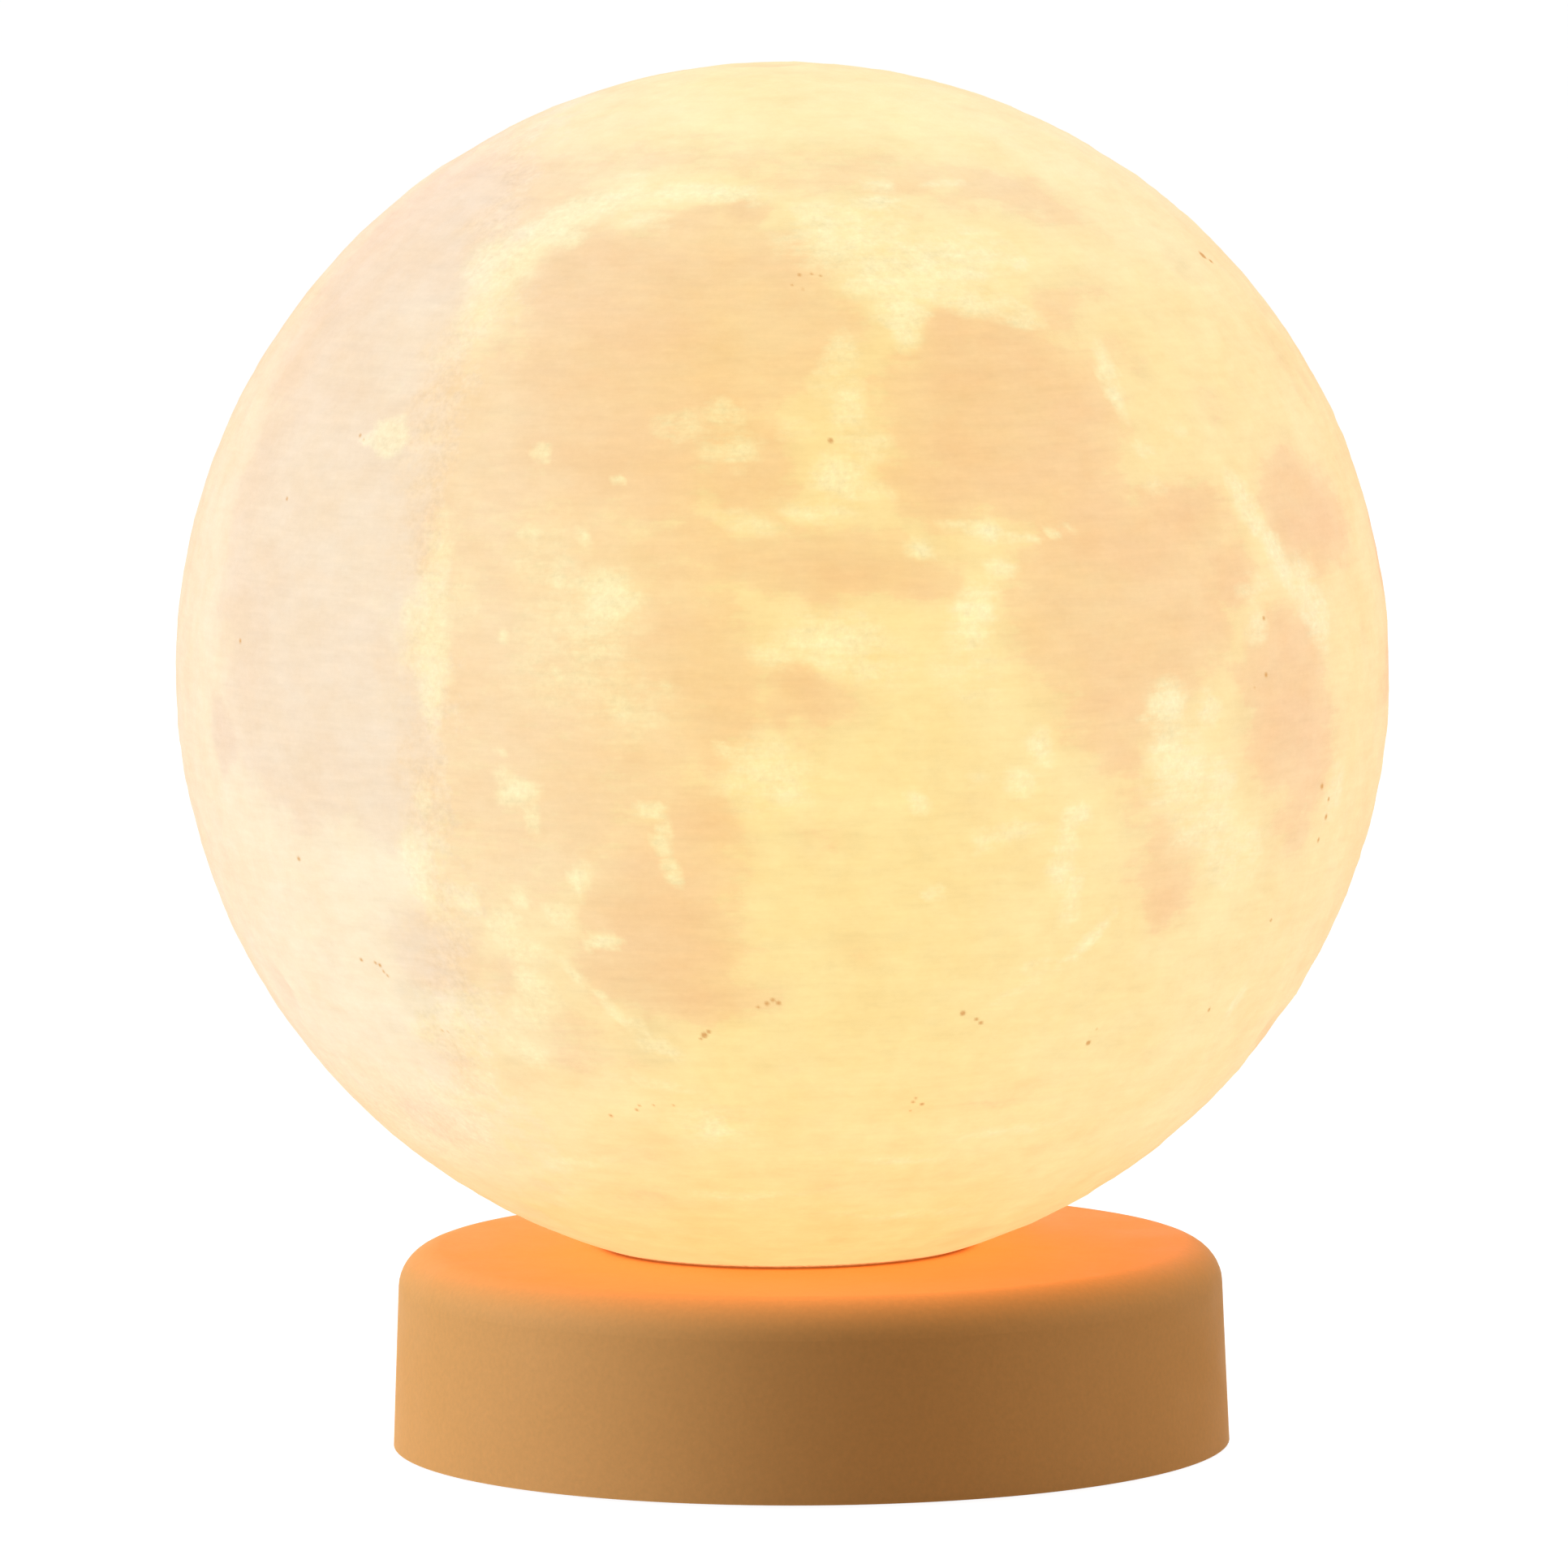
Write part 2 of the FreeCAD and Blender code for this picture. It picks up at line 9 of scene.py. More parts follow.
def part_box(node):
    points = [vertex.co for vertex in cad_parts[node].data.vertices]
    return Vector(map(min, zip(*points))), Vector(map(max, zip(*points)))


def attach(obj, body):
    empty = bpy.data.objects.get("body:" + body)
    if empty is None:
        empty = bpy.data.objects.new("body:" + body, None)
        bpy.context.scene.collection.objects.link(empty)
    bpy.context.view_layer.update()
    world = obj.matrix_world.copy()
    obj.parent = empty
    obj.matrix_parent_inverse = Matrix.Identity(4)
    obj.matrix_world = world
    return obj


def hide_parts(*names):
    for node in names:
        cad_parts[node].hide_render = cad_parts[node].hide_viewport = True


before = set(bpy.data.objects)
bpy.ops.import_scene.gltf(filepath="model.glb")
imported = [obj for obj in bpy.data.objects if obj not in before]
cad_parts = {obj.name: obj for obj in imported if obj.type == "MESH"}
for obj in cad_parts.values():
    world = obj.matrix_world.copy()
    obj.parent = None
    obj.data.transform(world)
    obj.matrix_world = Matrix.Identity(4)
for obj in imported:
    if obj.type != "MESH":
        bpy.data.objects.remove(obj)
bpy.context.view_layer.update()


# The base is a moulded cup in matte tan plastic, with a very fine spark-eroded grain and a softly
# rounded top edge. Its rear panel has the inlet's mouth, the button's hole and the charge light's.
def new_finish(name):
    """A new material, its node tree and its shader."""
    material = bpy.data.materials.new(name)
    material.use_nodes = True
    return material, material.node_tree, material.node_tree.nodes["Principled BSDF"]


def seen_as(red, green, blue):
    """A colour that is seen as these values from 0 to 255, in the way that a shader takes it."""
    values = [value / 255 for value in (red, green, blue)]
    values = [v / 12.92 if v < 0.04 else ((v + 0.055) / 1.055) ** 2.4 for v in values]
    return (*values, 1)


def node(tree, kind, inputs=None, **settings):
    """A new node with its settings. Each input is set to a value, or linked to an output."""
    made = tree.nodes.new(kind)
    for key, value in settings.items():
        setattr(made, key, value)
    for key, value in (inputs or {}).items():
        if isinstance(value, bpy.types.NodeSocket):
            tree.links.new(value, made.inputs[key])
        else:
            made.inputs[key].default_value = value
    return made


def places(tree):
    return node(tree, "ShaderNodeTexCoord").outputs["Object"]


def mixed(tree, amount, a, b, blend="MIX"):
    inputs = {0: amount, 6: a, 7: b}
    return node(tree, "ShaderNodeMix", inputs, data_type="RGBA", blend_type=blend).outputs[2]


def tinted(tree, colour, tint):
    return mixed(tree, 1.0, colour, tint, "MULTIPLY")


def worked(tree, operation, a, b=0.0):
    return node(tree, "ShaderNodeMath", {0: a, 1: b}, operation=operation).outputs[0]


def times(tree, a, b):
    return worked(tree, "MULTIPLY", a, b)


def plus(tree, a, b):
    return worked(tree, "ADD", a, b)


def less(tree, a, b):
    return worked(tree, "SUBTRACT", a, b)


def ranged(tree, value, low, high, to_low=0.0, to_high=1.0, kind="LINEAR"):
    inputs = {0: value, 1: low, 2: high, 3: to_low, 4: to_high}
    return node(tree, "ShaderNodeMapRange", inputs, interpolation_type=kind).outputs[0]


def cloudy(tree, scale, detail=4.0, roughness=0.6, stretch=(1, 1, 1)):
    """Noise with so many spots to a metre, closer together along an axis that is stretched."""
    moved = node(tree, "ShaderNodeMapping", {"Vector": places(tree), "Scale": stretch}).outputs[0]
    inputs = {"Vector": moved, "Scale": scale, "Detail": detail, "Roughness": roughness}
    return node(tree, "ShaderNodeTexNoise", inputs).outputs[0]


def feed(shader, socket, value):
    """Links what varies over the surface to one of the shader's sockets."""
    shader.id_data.links.new(value, shader.inputs[socket])


def bumped(tree, shader, height, distance, strength=0.5):
    inputs = {"Height": height, "Distance": distance, "Strength": strength}
    feed(shader, "Normal", node(tree, "ShaderNodeBump", inputs).outputs[0])


def moulded_plastic(name, colour, roughness, grain, grain_depth, spread, gloss=0.35):
    """Plastic with a fine moulded grain, slow changes of tone, and gloss that varies a little."""
    material, tree, shader = new_finish(name)
    slow, fine = cloudy(tree, 22, 4, 0.55), cloudy(tree, grain, 3, 0.65)
    tone = plus(tree, ranged(tree, slow, 0.3, 0.7, 1 - spread, 1 + spread),
                ranged(tree, fine, 0.3, 0.7, -0.035, 0.035))
    feed(shader, "Base Color", tinted(tree, seen_as(*colour), tone))
    rough = ranged(tree, cloudy(tree, 140, 3), 0.3, 0.7, roughness - 0.05, roughness + 0.06)
    feed(shader, "Roughness", rough)
    shader.inputs["Specular IOR Level"].default_value = gloss
    bumped(tree, shader, fine, grain_depth)
    return material


def paint(name, material):
    """Gives a node of the frame its finish."""
    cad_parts[name].data.materials.clear()
    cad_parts[name].data.materials.append(material)


base_colour = (250, 182, 104)
base_plastic = moulded_plastic("base_plastic", base_colour, 0.62, 1500, 0.00005, 0.015, 0.1)
paint("base_housing", base_plastic)


# The lamp post is moulded in white plastic. Its three ears are screwed up to the roof of the base,
# and the globe stands loosely round it.
paint("lamp_post", moulded_plastic("post_plastic", (232, 226, 214), 0.42, 1100, 0.00004, 0.03))


# Every screw is zinc-plated steel with a drive cut in its head: the plating is bright, slightly
# mottled, and marked round by the turning of the head.
def zinc_plating():
    material, tree, shader = new_finish("screw_steel")
    mottle, turning = cloudy(tree, 900, 4, 0.6), cloudy(tree, 2500, 2, 0.5, (1, 1, 6))
    blue, yellow = seen_as(186, 188, 192), seen_as(214, 213, 205)
    feed(shader, "Base Color", mixed(tree, ranged(tree, mottle, 0.35, 0.65), blue, yellow))
    shader.inputs["Metallic"].default_value = 1.0
    feed(shader, "Roughness", ranged(tree, mottle, 0.3, 0.7, 0.24, 0.42))
    bumped(tree, shader, turning, 0.00003, 0.4)
    return material


zinc = zinc_plating()
for screws in ("post_screws", "light_board_screws", "control_board_screws", "housing_screws"):
    paint(screws, zinc)


# The light board is an aluminium disc under white solder mask. Ring tracks show through the mask
# on either side of the chips, and the cut edge is bare metal.
ring_tracks = ((0.0082, 0.0007), (0.0128, 0.0006), (0.0045, 0.0004))
mask_thickness = 0.0001


def distance_from_axis(tree, x, y):
    return worked(tree, "SQRT", plus(tree, times(tree, x, x), times(tree, y, y)))


def white_mask():
    material, tree, shader = new_finish("light_board_metal")
    x, y, z = node(tree, "ShaderNodeSeparateXYZ", {0: places(tree)}).outputs[:3]
    radius = distance_from_axis(tree, x, y)
    tracks = 0.0
    for middle, half_width in ring_tracks:
        away = worked(tree, "ABSOLUTE", less(tree, radius, middle))
        track = ranged(tree, away, half_width, half_width + 0.00012, 1, 0, "SMOOTHSTEP")
        tracks = worked(tree, "MAXIMUM", track, tracks)
    tone = ranged(tree, cloudy(tree, 400, 4), 0.3, 0.7)
    mask = mixed(tree, tone, seen_as(228, 228, 222), seen_as(238, 237, 232))
    mask = mixed(tree, times(tree, tracks, 0.35), mask, seen_as(214, 208, 190))
    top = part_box("light_board")[1].z
    edge = ranged(tree, z, top - 1.2 * mask_thickness, top - mask_thickness, 1, 0)
    sawn = ranged(tree, cloudy(tree, 1500, 3, 0.6, (1, 1, 8)), 0.3, 0.7)
    metal = mixed(tree, sawn, seen_as(180, 182, 186), seen_as(212, 213, 215))
    feed(shader, "Base Color", mixed(tree, edge, mask, metal))
    feed(shader, "Metallic", edge)
    feed(shader, "Roughness", ranged(tree, edge, 0, 1, 0.38, 0.32))
    bumped(tree, shader, tracks, 0.00004, 0.6)
    return material


paint("light_board", white_mask())


# Twelve light chips and four resistors are soldered in rings on the board. A chip is a white frame
# round a pad of yellow phosphor that glows. A resistor is black between two tinned ends.
chip_count, first_chip, chip_ring_radius = 12, 15, 0.0105
resistor_count, first_resistor = 4, 45


def ring_part(tree, count, first_degrees):
    """How far a point is from its part's middle line, round the ring and out from the axis."""
    x, y, z = node(tree, "ShaderNodeSeparateXYZ", {0: places(tree)}).outputs[:3]
    radius = distance_from_axis(tree, x, y)
    step = 2 * math.pi / count
    start = 4 * math.pi + step / 2 - math.radians(first_degrees)
    angle = plus(tree, worked(tree, "ARCTAN2", y, x), start)
    turned = less(tree, worked(tree, "MODULO", angle, step), step / 2)
    aside = worked(tree, "ABSOLUTE", times(tree, radius, worked(tree, "SINE", turned)))
    return aside, times(tree, radius, worked(tree, "COSINE", turned)), z


def phosphor_chip():
    material, tree, shader = new_finish("light_chip")
    aside, outward, z = ring_part(tree, chip_count, first_chip)
    off_ring = worked(tree, "ABSOLUTE", less(tree, outward, chip_ring_radius))
    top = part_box("light_chips")[1].z
    across = times(tree, ranged(tree, aside, 0.00125, 0.00132, 1, 0),
                   ranged(tree, off_ring, 0.00092, 0.001, 1, 0))
    pad = times(tree, across, ranged(tree, z, top - 0.0001, top - 0.00002))
    grain = ranged(tree, cloudy(tree, 4000, 3), 0.3, 0.7)
    white = mixed(tree, grain, seen_as(226, 225, 218), seen_as(240, 239, 234))
    phosphor = mixed(tree, grain, seen_as(240, 196, 84), seen_as(252, 214, 108))
    feed(shader, "Base Color", mixed(tree, pad, white, phosphor))
    light = mixed(tree, pad, (0, 0, 0, 1), seen_as(255, 226, 160))
    feed(shader, "Emission Color", light)
    shader.inputs["Emission Strength"].default_value = 3.0
    shader.inputs["Roughness"].default_value = 0.35
    bumped(tree, shader, plus(tree, times(tree, grain, 0.2), pad), 0.00003)
    return material


def tinned_resistor():
    material, tree, shader = new_finish("resistor_black")
    aside = ring_part(tree, resistor_count, first_resistor)[0]
    tin = ranged(tree, aside, 0.00052, 0.00056)
    grain = ranged(tree, cloudy(tree, 5000, 3), 0.3, 0.7)
    black = mixed(tree, grain, seen_as(24, 24, 26), seen_as(40, 40, 43))
    silver = mixed(tree, grain, seen_as(180, 181, 184), seen_as(206, 206, 208))
    feed(shader, "Base Color", mixed(tree, tin, black, silver))
    feed(shader, "Metallic", tin)
    feed(shader, "Roughness", ranged(tree, grain, 0, 1, 0.3, 0.45))
    bumped(tree, shader, plus(tree, times(tree, grain, 0.3), tin), 0.00003)
    return material


paint("light_chips", phosphor_chip())
paint("light_resistors", tinned_resistor())


# The diffuser is a milky plastic cap pressed over the light board. It glows warm white, a little
# stronger in a ring over the chips than at its middle and its skirt.
glow_ring_radius = 0.0100


def milky_plastic():
    material, tree, shader = new_finish("diffuser_milk")
    x, y, z = node(tree, "ShaderNodeSeparateXYZ", {0: places(tree)}).outputs[:3]
    away = worked(tree, "ABSOLUTE", less(tree, distance_from_axis(tree, x, y), glow_ring_radius))
    over_chips = ranged(tree, away, 0, 0.0055, 1, 0, "SMOOTHSTEP")
    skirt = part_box("diffuser_cap")[0].z
    up = ranged(tree, z, skirt, skirt + 0.0075, 0, 1, "SMOOTHSTEP")
    swirl = cloudy(tree, 160, 4, 0.55)
    glow = times(tree, up, ranged(tree, over_chips, 0, 1, 0.82, 1.0))
    glow = plus(tree, glow, ranged(tree, swirl, 0.3, 0.7, 0.14, 0.20))
    warm = mixed(tree, up, (0.95, 0.50, 0.20, 1), (1.25, 0.88, 0.52, 1))
    feed(shader, "Emission Color", tinted(tree, warm, glow))
    shader.inputs["Emission Strength"].default_value = 0.95
    milk = mixed(tree, swirl, seen_as(196, 190, 178), seen_as(212, 206, 195))
    feed(shader, "Base Color", milk)
    shader.inputs["Roughness"].default_value = 0.36
    bumped(tree, shader, cloudy(tree, 900, 3), 0.00003, 0.3)
    return material


paint("diffuser_cap", milky_plastic())


# The control board is green fibreglass. Its tracks and tinned holes show under the mask, and its
# sawn edges are the colour of the bare laminate.
def green_mask():
    material, tree, shader = new_finish("board_green")
    where = places(tree)
    low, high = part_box("control_board")
    black, white = (0, 0, 0, 1), (1, 1, 1, 1)
    rows = {"Vector": where, "Color1": black, "Color2": black, "Mortar": white, "Scale": 1.0,
            "Mortar Size": 0.00018, "Mortar Smooth": 0.2, "Brick Width": 0.0062,
            "Row Height": 0.0016}
    tracks = node(tree, "ShaderNodeTexBrick", rows).outputs["Fac"]
    spots = {"Vector": where, "Scale": 330.0}
    cells = node(tree, "ShaderNodeTexVoronoi", spots, voronoi_dimensions="2D").outputs[0]
    hole_ring = ranged(tree, cells, 0.10, 0.12, 1, 0)
    hole = ranged(tree, cells, 0.045, 0.055, 1, 0)
    tone = ranged(tree, cloudy(tree, 260, 4), 0.3, 0.7)
    green = mixed(tree, tone, seen_as(14, 84, 50), seen_as(20, 98, 60))
    green = mixed(tree, tracks, green, seen_as(36, 128, 80))
    faces = mixed(tree, hole_ring, green, seen_as(205, 200, 186))
    faces = mixed(tree, hole, faces, seen_as(30, 34, 30))
    z = node(tree, "ShaderNodeSeparateXYZ", {0: where}).outputs[2]
    side = times(tree, ranged(tree, z, low.z + 0.00003, low.z + 0.00006),
                 ranged(tree, z, high.z - 0.00006, high.z - 0.00003, 1, 0))
    weave = cloudy(tree, 1200, 3, 0.5, (1, 1, 12))
    weave = mixed(tree, weave, seen_as(150, 146, 96), seen_as(186, 178, 124))
    feed(shader, "Base Color", mixed(tree, side, faces, weave))
    tinned = times(tree, hole_ring, ranged(tree, side, 0, 1, 0.9, 0))
    feed(shader, "Metallic", tinned)
    feed(shader, "Roughness", ranged(tree, side, 0, 1, 0.26, 0.7))
    bumped(tree, shader, worked(tree, "MAXIMUM", tracks, hole_ring), 0.00004, 0.6)
    return material


paint("control_board", green_mask())


# The chips, the switch's plunger and the inlet's tongue are black epoxy or nylon, faintly pitted.
# The chips are soldered to the control board, and the other two slide or stand in their cases.
def black_epoxy():
    material, tree, shader = new_finish("chip_black")
    pits = node(tree, "ShaderNodeTexVoronoi", {"Vector": places(tree), "Scale": 5200.0}).outputs[0]
    tone = ranged(tree, cloudy(tree, 700, 4), 0.3, 0.7)
    black = mixed(tree, tone, seen_as(26, 26, 28), seen_as(42, 42, 44))
    feed(shader, "Base Color", black)
    feed(shader, "Roughness", ranged(tree, tone, 0, 1, 0.42, 0.58))
    bumped(tree, shader, pits, 0.00002, 0.6)
    return material


epoxy = black_epoxy()
for part in ("board_chips", "switch_plunger", "inlet_tongue"):
    paint(part, epoxy)


# The inlet's shell and the switch's case are thin nickel-plated steel, drawn in one direction.
# Both are soldered to the control board behind the rear panel.
def drawn_nickel(name, along):
    material, tree, shader = new_finish(name)
    lines, mottle = cloudy(tree, 2600, 3, 0.6, along), cloudy(tree, 500, 4)
    nickel = mixed(tree, mottle, seen_as(176, 174, 170), seen_as(212, 210, 205))
    feed(shader, "Base Color", nickel)
    shader.inputs["Metallic"].default_value = 1.0
    feed(shader, "Roughness", ranged(tree, lines, 0.3, 0.7, 0.2, 0.4))
    bumped(tree, shader, lines, 0.00001, 0.5)
    return material


paint("inlet_socket", drawn_nickel("socket_steel", (1, 0.08, 1)))
paint("switch_body", drawn_nickel("switch_steel", (0.1, 1, 1)))


# The button is moulded in the base's tan, a shade deeper and glossier. It stands a little proud of
# the panel.
paint("power_button", moulded_plastic("button_plastic", (232, 162, 92), 0.36, 1300, 0.00003, 0.02))


# The charge light is a chip in a white frame with a green pad, behind a clear pipe with a frosted
# end.
def frosted_clear():
    material, tree, shader = new_finish("lens_clear")
    frost = cloudy(tree, 1800, 4)
    clear = mixed(tree, frost, seen_as(226, 232, 226), seen_as(244, 247, 243))
    feed(shader, "Base Color", clear)
    feed(shader, "Roughness", ranged(tree, frost, 0.3, 0.7, 0.18, 0.4))
    shader.inputs["Transmission Weight"].default_value = 0.8
    shader.inputs["IOR"].default_value = 1.49
    bumped(tree, shader, frost, 0.00002)
    return material


def green_chip():
    material, tree, shader = new_finish("charge_chip")
    low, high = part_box("charge_light")
    z = node(tree, "ShaderNodeSeparateXYZ", {0: places(tree)}).outputs[2]
    off_middle = worked(tree, "ABSOLUTE", less(tree, z, (low.z + high.z) / 2))
    pad = ranged(tree, off_middle, 0.0006, 0.0007, 1, 0)
    tone = cloudy(tree, 3000, 3)
    white = mixed(tree, tone, seen_as(222, 222, 216), seen_as(240, 240, 236))
    feed(shader, "Base Color", mixed(tree, pad, white, seen_as(150, 200, 130)))
    light = mixed(tree, pad, (0, 0, 0, 1), seen_as(110, 230, 120))
    feed(shader, "Emission Color", light)
    shader.inputs["Emission Strength"].default_value = 0.6
    shader.inputs["Roughness"].default_value = 0.4
    bumped(tree, shader, tone, 0.00002)
    return material


paint("charge_lens", frosted_clear())
paint("charge_light", green_chip())


# Headers and plugs are natural nylon, slightly milky, with the plugs a warmer shade than the
# headers.
header_nylon = moulded_plastic("header_white", (226, 222, 206), 0.4, 2600, 0.00002, 0.03)
plug_nylon = moulded_plastic("plug_white", (236, 230, 212), 0.34, 2600, 0.00002, 0.03)
for part in ("led_header", "battery_header"):
    paint(part, header_nylon)
for part in ("led_plug", "battery_plug"):
    paint(part, plug_nylon)


# The leads are stranded wire in soft silicone, one red and one black in each pair. A line midway
# between the two wires of a pair tells them apart: it runs from the end at the front to the plug,
# and bends as they do.
def wire_covers(name, front_x, front_y, plug_x, plug_y):
    material, tree, shader = new_finish(name)
    x, y, z = node(tree, "ShaderNodeSeparateXYZ", {0: places(tree)}).outputs[:3]
    midway = ranged(tree, y, front_y, plug_y, front_x, plug_x, "SMOOTHSTEP")
    red = worked(tree, "GREATER_THAN", x, midway)
    tone = ranged(tree, cloudy(tree, 900, 3), 0.3, 0.7)
    reds = mixed(tree, tone, seen_as(168, 26, 24), seen_as(190, 38, 32))
    blacks = mixed(tree, tone, seen_as(26, 26, 28), seen_as(42, 42, 45))
    feed(shader, "Base Color", mixed(tree, red, blacks, reds))
    feed(shader, "Roughness", ranged(tree, tone, 0, 1, 0.34, 0.46))
    bumped(tree, shader, tone, 0.00003, 0.4)
    return material


paint("led_leads", wire_covers("light_lead_cover", 0.0, 0.0, -0.0065, 0.0171))
paint("battery_leads", wire_covers("battery_lead_cover", 0.004, 0.0122, 0.0065, 0.0191))


# The battery is a flat pouch in aluminium film. The film is creased, and amber tape closes its
# lead end. It is held down by a pad of white foam tape.
def pouch_film():
    material, tree, shader = new_finish("battery_film")
    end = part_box("battery_cell")[1].y
    y = node(tree, "ShaderNodeSeparateXYZ", {0: places(tree)}).outputs[1]
    tape = ranged(tree, y, end - 0.0052, end - 0.0051)
    edges = {"Vector": places(tree), "Scale": 210.0}
    creases = node(tree, "ShaderNodeTexVoronoi", edges, feature="DISTANCE_TO_EDGE").outputs[0]
    soft = cloudy(tree, 320, 5, 0.6)
    silver = mixed(tree, soft, seen_as(158, 161, 167), seen_as(196, 198, 203))
    amber = mixed(tree, soft, seen_as(188, 122, 34), seen_as(214, 148, 52))
    feed(shader, "Base Color", mixed(tree, tape, silver, amber))
    feed(shader, "Metallic", ranged(tree, tape, 0, 1, 0.85, 0.0))
    feed(shader, "Roughness", ranged(tree, soft, 0.3, 0.7, 0.28, 0.46))
    bumped(tree, shader, plus(tree, ranged(tree, creases, 0, 0.3, 0, 0.6), soft), 0.00012)
    return material


def open_foam(name, dark, pale, pores, depth):
    """Foam with so many open pores to a metre."""
    material, tree, shader = new_finish(name)
    cells = node(tree, "ShaderNodeTexVoronoi", {"Vector": places(tree), "Scale": pores}).outputs[0]
    slow = ranged(tree, cloudy(tree, 60, 4), 0.3, 0.7, -0.2, 0.2)
    tone = plus(tree, ranged(tree, cells, 0.1, 0.6), slow)
    feed(shader, "Base Color", mixed(tree, tone, seen_as(*dark), seen_as(*pale)))
    feed(shader, "Roughness", ranged(tree, cells, 0.1, 0.6, 0.95, 0.8))
    shader.inputs["Specular IOR Level"].default_value = 0.2
    bumped(tree, shader, cells, depth, 0.7)
    return material


paint("battery_cell", pouch_film())
paint("battery_tape", open_foam("tape_foam", (206, 204, 196), (236, 235, 230), 2600.0, 0.0001))


# The bottom plate is moulded in a darker tan and closes the base from below. The foot is a disc of
# charcoal foam rubber stuck into the plate's recess, over the screws.
paint("bottom_plate", moulded_plastic("plate_plastic", (188, 134, 80), 0.6, 1200, 0.00007, 0.03))
paint("foot_pad", open_foam("foot_rubber", (34, 33, 32), (66, 64, 61), 1900.0, 0.00012))


# The globe is one hollow print in warm white plastic. The print carries the near side of the Moon
# as it is seen in the sky: smooth lowlands, rough highlands, craters and their bright splashes.
# Light from inside makes it glow.
globe_radius = 0.075
globe_wall = 0.002
neck_radius = 0.020
neck_chamfer = 0.0004
foot_ragged = 0.0003
globe_low, globe_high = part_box("moon_shell")
foot_z = globe_low.z
globe_centre = Vector(((globe_low.x + globe_high.x) / 2, 0, globe_high.z - globe_radius))
globe_cuts = 119
map_turn = (
    Matrix.Rotation(math.radians(3.8), 3, "Z")
    @ Matrix.Rotation(math.radians(1.4), 3, "Y")
    @ Matrix.Rotation(math.radians(-1.4), 3, "X")
)

